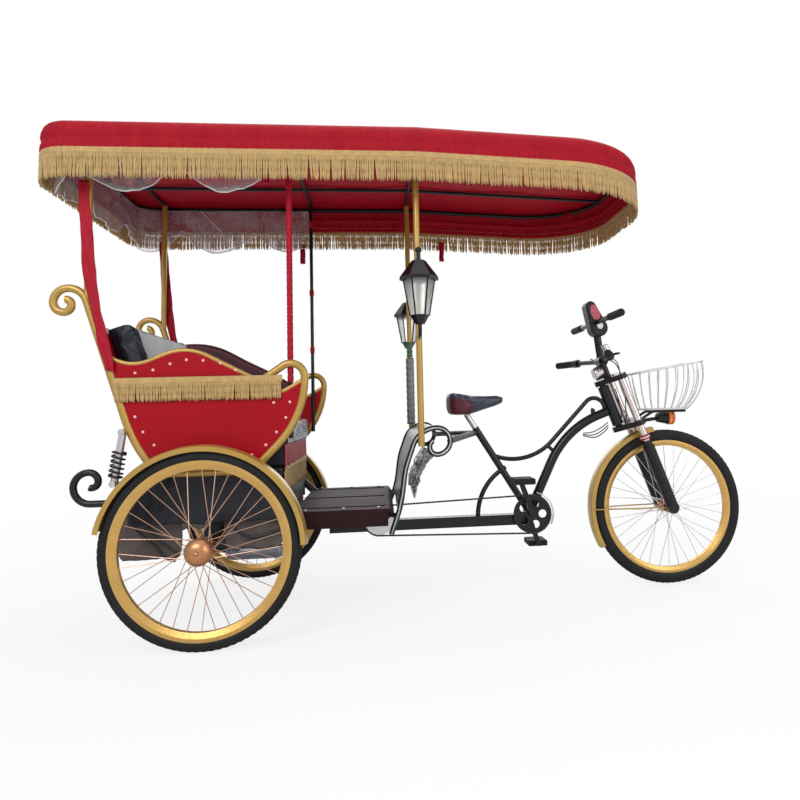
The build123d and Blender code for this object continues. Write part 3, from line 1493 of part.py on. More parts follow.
# Floor of the carriage, bent down at its front, with side skirts
floor_back = 290.0
floor_front = 635.0
floor_thickness = 12.0
floor_top_z = floor_rail_z + chassis_radius + floor_thickness
floor_bend = 14.0
floor_drop = 10.0
floor_drop_angle = -60.0
skirt_thickness = 8.0
skirt_z = 366.0
with BuildPart() as floor_board:
    add(formed_strip(side_plane(0), (floor_back, floor_top_z - floor_thickness / 2), 0,
                     ((floor_front - floor_back, floor_bend, floor_drop_angle), (floor_drop, 0, 0)),
                     floor_thickness, 2 * dash_half))
    for side in sides:
        with BuildSketch(side_plane(side * (dash_half - skirt_thickness / 2))):
            with Locations(((floor_back + floor_front) / 2, (floor_top_z - floor_thickness / 2 + skirt_z) / 2)):
                Rectangle(floor_front - floor_back, floor_top_z - floor_thickness / 2 - skirt_z)
        extrude(amount=skirt_thickness / 2, both=True)
    add(dash_frame.part, mode=Mode.SUBTRACT)
    add(chassis.part, mode=Mode.SUBTRACT)
save(floor_board, "floor_board")

# Battery case under its cross tube
battery_length = 130.0
battery_x = 168.0
battery_width = 230.0
battery_place = -135.0
battery_foot_z = 300.0
battery_round = 8.0
battery_top_z = chassis_z - bearer_radius
with BuildPart() as battery_case:
    with BuildSketch(Plane(at(battery_x, battery_place, battery_foot_z))):
        RectangleRounded(battery_length, battery_width, battery_round)
    extrude(amount=battery_top_z - battery_foot_z)
save(battery_case, "battery_case")

# Seat: a locker on the bearers, cushion, backrest, one side pad and the valance under the cushion
seat_clearance = 59.0  # from the panels, where the side pad stands
seat_half = carriage_half - panel_thickness / 2 - seat_clearance
locker_back = -160.0
locker_front = 256.0
locker_top_z = 675.0
riser_plate_inset = 37.0
riser_plate_half = seat_half - riser_plate_inset
riser_plate_z = 430.0
riser_plate_thickness = 12.0
cushion_back = -222.0
cushion_front = 264.0
cushion_top_z = 750.0
cushion_round = 24.0
locker_z = sill_z + bearer_radius
with BuildPart() as seat_base:
    with BuildSketch(side_plane(-seat_half)):
        with Locations(((locker_back + locker_front) / 2, (locker_z + locker_top_z) / 2)):
            Rectangle(locker_front - locker_back, locker_top_z - locker_z)
    extrude(amount=2 * seat_half)
    with BuildSketch(side_plane(-riser_plate_half)):
        with Locations((locker_front - riser_plate_thickness / 2, (riser_plate_z + locker_z) / 2)):
            Rectangle(riser_plate_thickness, locker_z - riser_plate_z)
    extrude(amount=2 * riser_plate_half)
save(seat_base, "seat_base")
with BuildPart() as seat_cushion:
    with BuildSketch(side_plane(-seat_half)):
        with Locations(((cushion_back + cushion_front) / 2, (locker_top_z + cushion_top_z) / 2)):
            Rectangle(cushion_front - cushion_back, cushion_top_z - locker_top_z)
    extrude(amount=2 * seat_half)
    fillet(edges().filter_by(Axis.Y).sort_by(Axis.X)[-2:], cushion_round)
    add(back_panel.part, mode=Mode.SUBTRACT)
save(seat_cushion, "seat_cushion")

# Line of the straight back rail, for the backrest and the side pad
with BuildLine(side_plane(0)):
    back_knee = trace(sill, 180, back_rail_steps[:2])
back_lean = radians(180 + back_rail_steps[0][2] + back_rail_steps[1][2])
pad_thickness = 90.0
pad_round = 22.0
pad_top = 350.0  # along the rail above its knee


def off_rail(along, forward):
    """Point in the side view, along the straight back rail from its knee and forward of it."""
    return (back_knee[0] + along * cos(back_lean) + forward * sin(back_lean),
            back_knee[1] + along * sin(back_lean) - forward * cos(back_lean))


def along_for(level, forward):
    """Distance along the back rail at which a line forward of it reaches a level."""
    return (level - back_knee[1] + forward * cos(back_lean)) / sin(back_lean)


pad_back = back_thickness / 2
pad_front = pad_back + pad_thickness
with BuildPart() as backrest:
    with BuildSketch(side_plane(-seat_half)):
        with BuildLine():
            Polyline(
                off_rail(along_for(cushion_top_z, pad_back), pad_back),
                off_rail(pad_top, pad_back),
                off_rail(pad_top, pad_front),
                off_rail(along_for(cushion_top_z, pad_front), pad_front),
                close=True,
            )
        make_face()
    extrude(amount=2 * seat_half)
    fillet(edges().filter_by(Axis.Y).sort_by(Axis.Z)[-1], pad_round)
    fillet(edges().filter_by(Axis.Y).sort_by(Axis.X)[-1], pad_round)
    add(back_panel.part, mode=Mode.SUBTRACT)
save(backrest, "backrest")

bolster_thickness = 46.0
bolster_side = seat_half + soft_gap
bolster_crest = ((-238.0, 1143.0), (-122.0, 1117.0), (-29.0, 1067.0), (100.0, 1000.0), (210.0, 930.0))
bolster_front = 235.0
with BuildPart() as side_bolster:
    with BuildSketch(side_plane(-bolster_side - bolster_thickness)):
        with BuildLine():
            crest = Spline(off_rail(pad_top, pad_back), *bolster_crest)
            Polyline(
                crest @ 1,
                (bolster_front, cushion_top_z),
                off_rail(along_for(cushion_top_z, pad_back), pad_back),
                crest @ 0,
            )
        make_face()
    extrude(amount=bolster_thickness)
    add(back_panel.part, mode=Mode.SUBTRACT)
save(side_bolster, "side_bolster")

valance_thickness = 6.0
seat_fringe_thickness = 4.0
seat_fringe_z = 495.0
skirt_foot_z = 583.0
with BuildPart() as seat_skirt:
    with BuildSketch(side_plane(-seat_half)):
        with Locations((locker_front + valance_thickness / 2, (skirt_foot_z + locker_top_z) / 2)):
            Rectangle(valance_thickness, locker_top_z - skirt_foot_z)
    extrude(amount=2 * seat_half)
save(seat_skirt, "seat_skirt")

# Gold fringes on the panels' outer faces and under the seat's valance
side_fringe_back = -318.0
side_fringe_front = 264.0
side_fringe_top_z = 930.0
side_fringe_foot_z = 842.0
with BuildPart() as carriage_fringes:
    for side in sides:
        fringe_face = carriage_half + rail_radius + seat_fringe_thickness / 2
        with BuildSketch(side_plane(side * fringe_face)):
            with Locations(((side_fringe_back + side_fringe_front) / 2,
                            (side_fringe_top_z + side_fringe_foot_z) / 2)):
                Rectangle(side_fringe_front - side_fringe_back, side_fringe_top_z - side_fringe_foot_z)
        extrude(amount=seat_fringe_thickness / 2, both=True)
    with BuildSketch(side_plane(-seat_half)):
        with Locations((locker_front + seat_fringe_thickness / 2, (seat_fringe_z + skirt_foot_z) / 2)):
            Rectangle(seat_fringe_thickness, skirt_foot_z - seat_fringe_z)
    extrude(amount=2 * seat_half)
    add(carriage_rails.part, mode=Mode.SUBTRACT)
save(carriage_fringes, "carriage_fringes")

# Rear fenders, each pinned to its gold rail at two places
fender_pins = ((-191.5, 618.5), (187.3, 621.0))
fender_pin_radius = 5.0
rear_inner_edge = track / 2 - rear_fender_width / 2
fender = fender_arc(Vector(axle_x, near * track / 2, wheel_radius), rear_fender_width, rear_fender_from,
                    rear_fender_to)
with BuildPart() as rear_fenders:
    add(fender)
    for pin_x, pin_z in fender_pins:
        add(straight_bar(at(pin_x, -carriage_half, pin_z), at(pin_x, -rear_inner_edge - fender_thickness / 2, pin_z),
                         fender_pin_radius))
    mirror(about=Plane.XZ)
    add(carriage_rails.part, mode=Mode.SUBTRACT)
save(rear_fenders, "rear_fenders")

# Clear rain curtain, gathered under the canopy round its back, and red ribbons down the back posts
curtain_inset = 52.0
curtain_half = canopy_half - curtain_inset
curtain_tail_inset = 48.0
curtain_tail = canopy_tail - curtain_tail_inset
curtain_front = 280.0
curtain_thickness = 14.0
curtain_bend = 90.0
curtain_foot_z = 1592.0
curtain_top_z = frame_z - frame_bar_radius
with BuildPart() as rain_curtain:
    with BuildLine(Plane(at(0, 0, (curtain_foot_z + curtain_top_z) / 2))) as curtain_path:
        FilletPolyline((curtain_front, -curtain_half), (-curtain_tail, -curtain_half), (-curtain_tail, curtain_half),
                       (curtain_front, curtain_half), radius=curtain_bend)
    with BuildSketch(Plane(curtain_path.wire() @ 0, x_dir=(0, 1, 0), z_dir=(-1, 0, 0))):
        Rectangle(curtain_thickness, curtain_top_z - curtain_foot_z)
    sweep(path=curtain_path.wire())
save(rain_curtain, "rain_curtain")

ribbon_width = 42.0
ribbon_thickness = 3.0
ribbon_ends = ((-430.0, 1640.0), (-345.0, 955.0))
with BuildPart() as post_ribbons:
    for side in sides:
        with BuildSketch(side_plane(side * (carriage_half + rail_radius + ribbon_thickness / 2))):
            ribbon_run = Vector(*ribbon_ends[1]) - Vector(*ribbon_ends[0])
            with Locations((Vector(*ribbon_ends[0]) + Vector(*ribbon_ends[1])) / 2):
                Rectangle(ribbon_run.length, ribbon_width, rotation=-ribbon_run.get_angle(Vector(1, 0, 0)))
        extrude(amount=ribbon_thickness / 2, both=True)
save(post_ribbons, "post_ribbons")
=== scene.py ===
# %% [markdown]
# # A surrey bike around its CAD frame
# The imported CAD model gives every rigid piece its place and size. This notebook keeps those pieces,
# gives them real finishes, and builds the soft goods and small details that make the vehicle look made.

# %% Load the frame
import math
import random

import bmesh
import bpy
import numpy as np
from mathutils import Matrix, Vector, noise


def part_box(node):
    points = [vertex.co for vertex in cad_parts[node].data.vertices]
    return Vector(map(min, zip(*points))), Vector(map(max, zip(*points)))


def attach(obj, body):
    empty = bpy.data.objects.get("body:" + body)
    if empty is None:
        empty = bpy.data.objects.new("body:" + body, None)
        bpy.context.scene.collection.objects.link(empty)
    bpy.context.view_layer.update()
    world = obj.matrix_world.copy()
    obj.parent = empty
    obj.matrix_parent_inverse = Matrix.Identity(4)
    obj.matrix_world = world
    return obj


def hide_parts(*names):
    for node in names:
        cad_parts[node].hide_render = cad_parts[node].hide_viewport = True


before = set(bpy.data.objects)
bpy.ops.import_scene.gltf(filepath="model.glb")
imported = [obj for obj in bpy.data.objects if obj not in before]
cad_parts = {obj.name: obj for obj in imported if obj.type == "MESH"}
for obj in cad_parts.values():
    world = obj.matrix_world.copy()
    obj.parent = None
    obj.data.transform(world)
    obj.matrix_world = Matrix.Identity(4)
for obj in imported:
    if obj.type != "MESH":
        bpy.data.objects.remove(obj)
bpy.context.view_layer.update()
AXLE_X = (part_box("tyre_rear_right")[0].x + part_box("tyre_rear_right")[1].x) / 2
print("nodes", len(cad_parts), "rear axle at x", round(AXLE_X, 4))

# %% [markdown]
# ## Camera
# The viewpoint was solved from the two wheels, the posts and the canopy's corners, which all have known
# places in the CAD. A perspective camera stands near the rider's right, a little in front of the rear axle.
# The lens shift keeps the posts upright in the frame, as in a cropped photograph.

# %% Camera at the photograph's angle
YAW, PITCH, ROLL = math.radians(6.31986), math.radians(4.09392), math.radians(-1.571937)
CAMERA_PLACE = (0.6132, -2.8907, 0.7903)  # ahead of the rear axle, to the right of the middle, and up
SENSOR_WIDTH, LENS = 36, 30.018
SHIFT_X, SHIFT_Y = -0.0663, -0.0486
scene = bpy.context.scene
forward = Vector((math.sin(YAW) * math.cos(PITCH), math.cos(YAW) * math.cos(PITCH), math.sin(PITCH)))
level_right = Vector((math.cos(YAW), -math.sin(YAW), 0))
level_up = level_right.cross(forward)
right = level_right * math.cos(ROLL) + level_up * math.sin(ROLL)
up = level_up * math.cos(ROLL) - level_right * math.sin(ROLL)
camera = bpy.data.objects.new("camera", bpy.data.cameras.new("camera"))
scene.collection.objects.link(camera)
turned = Matrix((right, up, -forward)).transposed().to_4x4()
camera.matrix_world = Matrix.Translation(Vector((AXLE_X, 0, 0)) + Vector(CAMERA_PLACE)) @ turned
camera.data.sensor_width, camera.data.lens = SENSOR_WIDTH, LENS
camera.data.shift_x, camera.data.shift_y = SHIFT_X, SHIFT_Y
scene.camera = camera
print("camera at", [round(value, 3) for value in camera.location])

# %% [markdown]
# ## Stage
# A plain pale floor and soft lamps. The backdrop is white only to the camera and to reflections, so the
# lamps can stay at a level where a colour renders about as it is written.

# %% World
GLOW_STRENGTH = 0.42
MIRRORED_WHITE = 0.7  # how white the backdrop looks in gloss and metal
scene.view_settings.view_transform = "Standard"


def math_node(tree, operation, *inputs):
    """Math node whose inputs are sockets to link or plain numbers."""
    node = tree.nodes.new("ShaderNodeMath")
    node.operation = operation
    for number, given in enumerate(inputs):
        if isinstance(given, (int, float)):
            node.inputs[number].default_value = given
        else:
            tree.links.new(given, node.inputs[number])
    return node


def join_shaders(tree, factor, first, second, target):
    """Mix two shaders by a factor and link the mix to a target."""
    mixed = tree.nodes.new("ShaderNodeMixShader")
    for number, given in enumerate((factor, first, second)):
        tree.links.new(given, mixed.inputs[number])
    tree.links.new(mixed.outputs[0], target)


world = bpy.data.worlds.new("studio")
scene.world = world
world.use_nodes = True
sky = world.node_tree
sky.nodes.clear()
path = sky.nodes.new("ShaderNodeLightPath")
glow = sky.nodes.new("ShaderNodeBackground")
glow.inputs["Color"].default_value = (0.92, 0.95, 1.0, 1)
glow.inputs["Strength"].default_value = GLOW_STRENGTH
white = sky.nodes.new("ShaderNodeBackground")
white.inputs["Color"].default_value = (1, 1, 1, 1)
mirrored = math_node(sky, "MULTIPLY", path.outputs["Is Glossy Ray"], MIRRORED_WHITE)
seen = math_node(sky, "MAXIMUM", path.outputs["Is Camera Ray"], path.outputs["Is Transmission Ray"])
shown = math_node(sky, "MAXIMUM", seen.outputs[0], mirrored.outputs[0])
sky_out = sky.nodes.new("ShaderNodeOutputWorld")
join_shaders(sky, shown.outputs[0], glow.outputs[0], white.outputs[0], sky_out.inputs[0])

# %% Lamps


def studio_lamp(name, place, aim, size, power):
    """Square area lamp that points at a spot."""
    lamp = bpy.data.objects.new(name, bpy.data.lights.new(name, "AREA"))
    lamp.data.size = size
    lamp.data.energy = power
    lamp.location = place
    lamp.rotation_euler = (Vector(aim) - Vector(place)).to_track_quat("-Z", "Y").to_euler()
    scene.collection.objects.link(lamp)


studio_lamp("key", (-2.5, -5.0, 4.2), (0, 0, 0.9), 3.0, 190)
studio_lamp("fill", (3.8, -4.0, 2.4), (0.3, 0, 0.8), 3.0, 85)
studio_lamp("top", (0.2, 0.5, 5.2), (0, 0, 0.5), 4.0, 95)
studio_lamp("back", (0.5, 4.8, 2.8), (0, 0, 0.9), 3.5, 70)

# %% Floor
FLOOR_HALF = 30
NEAR_SHARE = 0.8  # plain white in the floor close by; it grows to all of it between these distances
FADE_START, FADE_END = 1.8, 4.5


def baked(name, bm):
    """Mesh with a name from a bmesh, which is freed."""
    mesh = bpy.data.meshes.new(name)
    bm.to_mesh(mesh)
    bm.free()
    return mesh


bm = bmesh.new()
bmesh.ops.create_grid(bm, x_segments=1, y_segments=1, size=FLOOR_HALF)
floor = bpy.data.objects.new("studio_floor", baked("studio_floor", bm))
scene.collection.objects.link(floor)
pale = bpy.data.materials.new("pale_floor")
pale.use_nodes = True
tree = pale.node_tree
lit = tree.nodes["Principled BSDF"]
lit.inputs["Base Color"].default_value = (0.93, 0.93, 0.93, 1)
lit.inputs["Roughness"].default_value = 0.9
# To the camera the floor is mostly plain white, and the rest of it still takes the shadow. The share of
# plain white grows with distance, so no horizon shows where the floor meets the backdrop.
flat_white = tree.nodes.new("ShaderNodeEmission")
flat_white.inputs["Strength"].default_value = 1.0
where = tree.nodes.new("ShaderNodeNewGeometry")
away = tree.nodes.new("ShaderNodeVectorMath")
away.operation = "LENGTH"
tree.links.new(where.outputs["Position"], away.inputs[0])
fade = tree.nodes.new("ShaderNodeMapRange")
fade.inputs["From Min"].default_value = FADE_START
fade.inputs["From Max"].default_value = FADE_END
fade.inputs["To Min"].default_value = NEAR_SHARE
tree.links.new(away.outputs["Value"], fade.inputs["Value"])
floor_path = tree.nodes.new("ShaderNodeLightPath")
to_camera = math_node(tree, "MULTIPLY", floor_path.outputs["Is Camera Ray"], fade.outputs["Result"])
join_shaders(tree, to_camera.outputs[0], lit.outputs[0], flat_white.outputs[0],
             tree.nodes["Material Output"].inputs["Surface"])
floor.data.materials.append(pale)

# %% [markdown]
# ## Shared surface effects
# Real finishes are never one flat colour. Four small node groups are built once and placed in each
# material with its own values: slow tone drift, a fine grain for bump, a cloth weave, and dust that
# settles on faces that look up. They work from Object coordinates, so they stay on the piece.

# %% Group helpers


def effect_group(name, inputs, outputs):
    """Empty shader group with named sockets, as (tree, input node, output node)."""
    tree = bpy.data.node_groups.new(name, "ShaderNodeTree")
    kinds = {"c": "NodeSocketColor", "v": "NodeSocketFloat"}
    for socket, kind, value in inputs:
        made = tree.interface.new_socket(socket, in_out="INPUT", socket_type=kinds[kind])
        made.default_value = value
    for socket, kind in outputs:
        tree.interface.new_socket(socket, in_out="OUTPUT", socket_type=kinds[kind])
    return tree, tree.nodes.new("NodeGroupInput"), tree.nodes.new("NodeGroupOutput")


def noise_node(tree, source, detail=3.0):
    """Noise on Object coordinates whose scale comes from a group input."""
    coords = tree.nodes.new("ShaderNodeTexCoord")
    texture = tree.nodes.new("ShaderNodeTexNoise")
    texture.inputs["Detail"].default_value = detail
    tree.links.new(coords.outputs["Object"], texture.inputs["Vector"])
    tree.links.new(source, texture.inputs["Scale"])
    return texture


# %% Tone drift and fine grain
drift, g_in, g_out = effect_group(
    "tone_drift", (("Color", "c", (1, 1, 1, 1)), ("Amount", "v", 0.2), ("Scale", "v", 6.0)),
    (("Color", "c"), ("Mask", "v")))
cloud = noise_node(drift, g_in.outputs["Scale"], 4.0)
dark = math_node(drift, "MULTIPLY", cloud.outputs["Fac"], g_in.outputs["Amount"])
shade = drift.nodes.new("ShaderNodeMix")
shade.data_type = "RGBA"
shade.blend_type = "MULTIPLY"
drift.links.new(dark.outputs[0], shade.inputs["Factor"])
drift.links.new(g_in.outputs["Color"], shade.inputs["A"])
shade.inputs["B"].default_value = (0.05, 0.05, 0.06, 1)
drift.links.new(shade.outputs["Result"], g_out.inputs["Color"])
drift.links.new(cloud.outputs["Fac"], g_out.inputs["Mask"])

grain, g_in, g_out = effect_group("fine_grain", (("Scale", "v", 400.0),), (("Height", "v"),))
speck = noise_node(grain, g_in.outputs["Scale"], 2.0)
grain.links.new(speck.outputs["Fac"], g_out.inputs["Height"])

# %% Cloth weave
weave, g_in, g_out = effect_group("cloth_weave", (("Scale", "v", 500.0),), (("Height", "v"),))
coords = weave.nodes.new("ShaderNodeTexCoord")
threads = []
for direction in ("X", "Z"):
    wave = weave.nodes.new("ShaderNodeTexWave")
    wave.bands_direction = direction
    wave.inputs["Distortion"].default_value = 0.6
    weave.links.new(coords.outputs["Object"], wave.inputs["Vector"])
    weave.links.new(g_in.outputs["Scale"], wave.inputs["Scale"])
    threads.append(wave)
cross = math_node(weave, "MULTIPLY", *(wave.outputs["Fac"] for wave in threads))
weave.links.new(cross.outputs[0], g_out.inputs["Height"])

# %% Settled dust
dust, g_in, g_out = effect_group(
    "settled_dust", (("Color", "c", (1, 1, 1, 1)), ("Dust", "c", (0.5, 0.46, 0.4, 1)), ("Amount", "v", 0.15)),
    (("Color", "c"), ("Mask", "v")))
geometry = dust.nodes.new("ShaderNodeNewGeometry")
split = dust.nodes.new("ShaderNodeSeparateXYZ")
dust.links.new(geometry.outputs["Normal"], split.inputs[0])
upward = dust.nodes.new("ShaderNodeMapRange")
upward.inputs["From Min"].default_value = 0.35
dust.links.new(split.outputs["Z"], upward.inputs["Value"])
flecks = dust.nodes.new("ShaderNodeTexNoise")
flecks.inputs["Scale"].default_value = 60.0
flecks.inputs["Detail"].default_value = 5.0
dust_coords = dust.nodes.new("ShaderNodeTexCoord")
dust.links.new(dust_coords.outputs["Object"], flecks.inputs["Vector"])
lying = math_node(dust, "MULTIPLY", upward.outputs["Result"], flecks.outputs["Fac"])
share = math_node(dust, "MULTIPLY", lying.outputs[0], g_in.outputs["Amount"])
share.use_clamp = True
cover = dust.nodes.new("ShaderNodeMix")
cover.data_type = "RGBA"
dust.links.new(share.outputs[0], cover.inputs["Factor"])
dust.links.new(g_in.outputs["Color"], cover.inputs["A"])
dust.links.new(g_in.outputs["Dust"], cover.inputs["B"])
dust.links.new(cover.outputs["Result"], g_out.inputs["Color"])
dust.links.new(share.outputs[0], g_out.inputs["Mask"])
print("groups", [g.name for g in bpy.data.node_groups])

# %% [markdown]
# ## Finishes
# Every finish starts from the same recipe: tone drift and dust feed the base colour, the drift's mask
# varies the roughness a little, and grain or weave feeds one bump. What differs is each finish's own
# colour, gloss, metal, coat and sheen, which sit on the shader's own sockets.

# %% Material recipe


def finish(name, colour, rough, metal=0.0, vary=0.25, vary_scale=6.0, rough_spread=0.12, bump="fine_grain",
           bump_scale=500.0, bump_height=0.0004, dusty=0.12, **sockets):
    """Principled material with tone drift, settled dust, uneven gloss and a bump."""
    material = bpy.data.materials.new(name)
    material.use_nodes = True
    tree = material.node_tree
    shader = tree.nodes["Principled BSDF"]
    tone = tree.nodes.new("ShaderNodeGroup")
    tone.node_tree = bpy.data.node_groups["tone_drift"]
    tone.inputs["Color"].default_value = (*colour, 1)
    tone.inputs["Amount"].default_value = vary
    tone.inputs["Scale"].default_value = vary_scale
    settle = tree.nodes.new("ShaderNodeGroup")
    settle.node_tree = bpy.data.node_groups["settled_dust"]
    settle.inputs["Amount"].default_value = dusty
    tree.links.new(tone.outputs["Color"], settle.inputs["Color"])
    tree.links.new(settle.outputs["Color"], shader.inputs["Base Color"])
    gloss = tree.nodes.new("ShaderNodeMapRange")
    gloss.inputs["To Min"].default_value = max(0.02, rough - rough_spread / 2)
    gloss.inputs["To Max"].default_value = min(1.0, rough + rough_spread / 2)
    tree.links.new(tone.outputs["Mask"], gloss.inputs["Value"])
    tree.links.new(gloss.outputs["Result"], shader.inputs["Roughness"])
    if bump:
        texture = tree.nodes.new("ShaderNodeGroup")
        texture.node_tree = bpy.data.node_groups[bump]
        texture.inputs["Scale"].default_value = bump_scale
        relief = tree.nodes.new("ShaderNodeBump")
        relief.inputs["Distance"].default_value = bump_height
        relief.inputs["Strength"].default_value = 0.7
        tree.links.new(texture.outputs["Height"], relief.inputs["Height"])
        tree.links.new(relief.outputs["Normal"], shader.inputs["Normal"])
    shader.inputs["Metallic"].default_value = metal
    for socket, value in sockets.items():
        shader.inputs[socket.replace("_", " ")].default_value = value
    return material


# %% Finishes of this vehicle
black_paint = finish("black_paint", (0.004, 0.004, 0.006), 0.34, vary=0.1, dusty=0.0, Specular_IOR_Level=0.28,
                     Coat_Weight=0.12, Coat_Roughness=0.12)
gold_paint = finish("gold_paint", (0.50, 0.30, 0.055), 0.36, metal=0.35, vary=0.35, vary_scale=9, dusty=0.08,
                    Coat_Weight=0.35, Coat_Roughness=0.2)
red_panel = finish("red_panel", (0.37, 0.003, 0.010), 0.36, vary=0.2, vary_scale=4, dusty=0.0,
                   Specular_IOR_Level=0.12, Coat_Weight=0.05, Coat_Roughness=0.15)
red_satin = finish("red_satin", (0.41, 0.004, 0.016), 0.5, vary=0.35, vary_scale=14, bump="cloth_weave",
                   bump_scale=260, bump_height=0.0003, dusty=0.0, Specular_IOR_Level=0.14)
gold_cord = finish("gold_cord", (0.70, 0.45, 0.155), 0.6, vary=0.5, vary_scale=60, bump="cloth_weave",
                   bump_scale=420, bump_height=0.0005, dusty=0.0, Sheen_Weight=0.25, Sheen_Roughness=0.5)
black_vinyl = finish("black_vinyl", (0.013, 0.015, 0.024), 0.42, vary=0.3, vary_scale=8, bump_scale=320,
                     bump_height=0.0006, dusty=0.03, Specular_IOR_Level=0.3, Coat_Weight=0.06, Coat_Roughness=0.3)
maroon_vinyl = finish("maroon_vinyl", (0.085, 0.008, 0.018), 0.42, vary=0.3, vary_scale=8, bump_scale=320,
                      bump_height=0.0006, dusty=0.03, Specular_IOR_Level=0.3, Coat_Weight=0.08, Coat_Roughness=0.3)
floor_maroon = finish("floor_maroon", (0.026, 0.008, 0.009), 0.62, vary=0.45, vary_scale=12, dusty=0.03,
                      Specular_IOR_Level=0.12)
black_plastic = finish("black_plastic", (0.009, 0.009, 0.010), 0.45, vary=0.2, bump_scale=260, dusty=0.02,
                       Specular_IOR_Level=0.3)
grip_rubber = finish("grip_rubber", (0.008, 0.008, 0.009), 0.7, vary=0.2, bump_scale=260, bump_height=0.0008,
                     dusty=0.02, Specular_IOR_Level=0.25)
tyre_rubber = finish("tyre_rubber", (0.012, 0.012, 0.013), 0.72, vary=0.45, vary_scale=10, bump_scale=200,
                     bump_height=0.0006, dusty=0.12, Specular_IOR_Level=0.25)
bright_steel = finish("bright_steel", (0.62, 0.62, 0.64), 0.28, metal=1.0, vary=0.25, vary_scale=20)
copper_hub = finish("copper_hub", (0.55, 0.26, 0.13), 0.34, metal=0.9, vary=0.35, vary_scale=25)
gold_rim = finish("gold_rim", (0.66, 0.40, 0.12), 0.30, metal=0.75, vary=0.3, vary_scale=14)
copper_spoke = finish("copper_spoke", (0.62, 0.38, 0.27), 0.32, metal=0.85, vary=0.2, vary_scale=30)
silver_spoke = finish("silver_spoke", (0.72, 0.70, 0.70), 0.28, metal=0.9, vary=0.15, vary_scale=30)
silver_metal = finish("silver_metal", (0.66, 0.64, 0.66), 0.24, metal=0.95, vary=0.2, vary_scale=20)
stanchion_silver = finish("stanchion_silver", (0.72, 0.62, 0.60), 0.16, metal=0.95, vary=0.15, bump=None)
basket_wire = finish("basket_wire", (0.62, 0.61, 0.58), 0.35, metal=0.35, vary=0.35, vary_scale=20)
ribbon_red = finish("ribbon_red", (0.44, 0.006, 0.024), 0.45, vary=0.3, vary_scale=14, bump="cloth_weave",
                    bump_scale=300, dusty=0.0, Specular_IOR_Level=0.2)
stud_pearl = finish("stud_pearl", (0.86, 0.52, 0.50), 0.3, vary=0.15, vary_scale=80, dusty=0.02)


def clear_finish(name, colour, rough, clearness, ior=1.45):
    """Glass-like finish with a plain transmission."""
    material = finish(name, colour, rough, vary=0.12, vary_scale=18, dusty=0.0, bump_scale=60, bump_height=0.001)
    shader = material.node_tree.nodes["Principled BSDF"]
    shader.inputs["Transmission Weight"].default_value = clearness
    shader.inputs["IOR"].default_value = ior
    return material


lantern_pane = clear_finish("lantern_pane", (0.82, 0.84, 0.82), 0.35, 0.75)
orange_pane = clear_finish("orange_pane", (0.95, 0.22, 0.03), 0.2, 0.6)
print("materials", len(bpy.data.materials))

# %% Put the finishes on the CAD pieces
NODE_FINISH = {
    "tyre_rear_right": tyre_rubber, "tyre_rear_left": tyre_rubber, "tyre_front": tyre_rubber,
    "half_shaft_right": bright_steel, "half_shaft_left": bright_steel,
    "canopy_top": red_satin, "canopy_bars": black_paint,
    "rear_axle": black_paint, "fork_crowns": black_paint, "fork_stanchions": stanchion_silver,
    "fork_legs": black_paint, "front_fender": gold_paint, "handlebars": black_paint,
    "handlebar_grips": grip_rubber, "brake_levers": black_paint, "display_pod": black_plastic,
    "steering_lamps": silver_metal, "basket": basket_wire, "basket_arms": black_paint,
    "front_lamp": black_plastic, "front_lens": orange_pane, "main_frame": black_paint,
    "saddle": maroon_vinyl, "seat_post": bright_steel, "crankset": black_paint,
    "pedal_right": grip_rubber, "pedal_left": grip_rubber, "chains": bright_steel,
    "jackshaft": bright_steel, "chain_guard": bright_steel, "carriage_rails": gold_paint,
    "side_panels": red_panel, "back_panel": red_panel, "canopy_cover": red_satin,
    "canopy_fringe": gold_cord, "canopy_frame": black_paint, "back_posts": gold_paint,
    "front_posts": black_paint, "chassis": black_paint, "shock_bodies": silver_metal,
    "shock_coils": black_paint, "dash_frame": black_paint, "dash_panel": black_paint,
    "lamp_posts": gold_paint, "lantern_frames": black_paint, "lantern_glass": lantern_pane,
    "floor_board": floor_maroon, "battery_case": black_plastic, "seat_base": black_vinyl,
    "seat_cushion": black_vinyl, "backrest": black_vinyl, "side_bolster": maroon_vinyl,
    "seat_skirt": red_satin, "carriage_fringes": gold_cord, "rear_fenders": gold_paint,
    "rain_curtain": lantern_pane, "post_ribbons": ribbon_red,
}


def paint(node, *materials):
    """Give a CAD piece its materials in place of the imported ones."""
    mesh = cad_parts[node].data
    mesh.materials.clear()
    for material in materials:
        mesh.materials.append(material)


for node, material in NODE_FINISH.items():
    paint(node, material)

# %% [markdown]
# ## Wire wheels
# Rim, spokes and hub are one CAD piece, but three finishes on the real wheel: gold-toned rims,
# coppery spokes behind and silver ones in front, and a copper hub dome. A face's distance from the wheel's
# axis tells which it is, so the faces only get a different material slot and the shape stays.

# %% Three finishes on each wheel


def paint_wheel(node, spoke, rim_inner, hub_outer):
    """Gold rim, spokes and copper hub, sorted by distance from the wheel's axis."""
    low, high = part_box(node)
    centre_x, centre_z = (low.x + high.x) / 2, (low.z + high.z) / 2
    paint(node, gold_rim, spoke, copper_hub)
    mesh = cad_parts[node].data
    for face in mesh.polygons:
        reach = math.hypot(face.center.x - centre_x, face.center.z - centre_z)
        face.material_index = 0 if reach > rim_inner else (1 if reach > hub_outer else 2)


paint_wheel("wheel_rear_right", copper_spoke, 0.271, 0.0475)
paint_wheel("wheel_rear_left", copper_spoke, 0.271, 0.0475)
paint_wheel("wheel_front", silver_spoke, 0.265, 0.030)
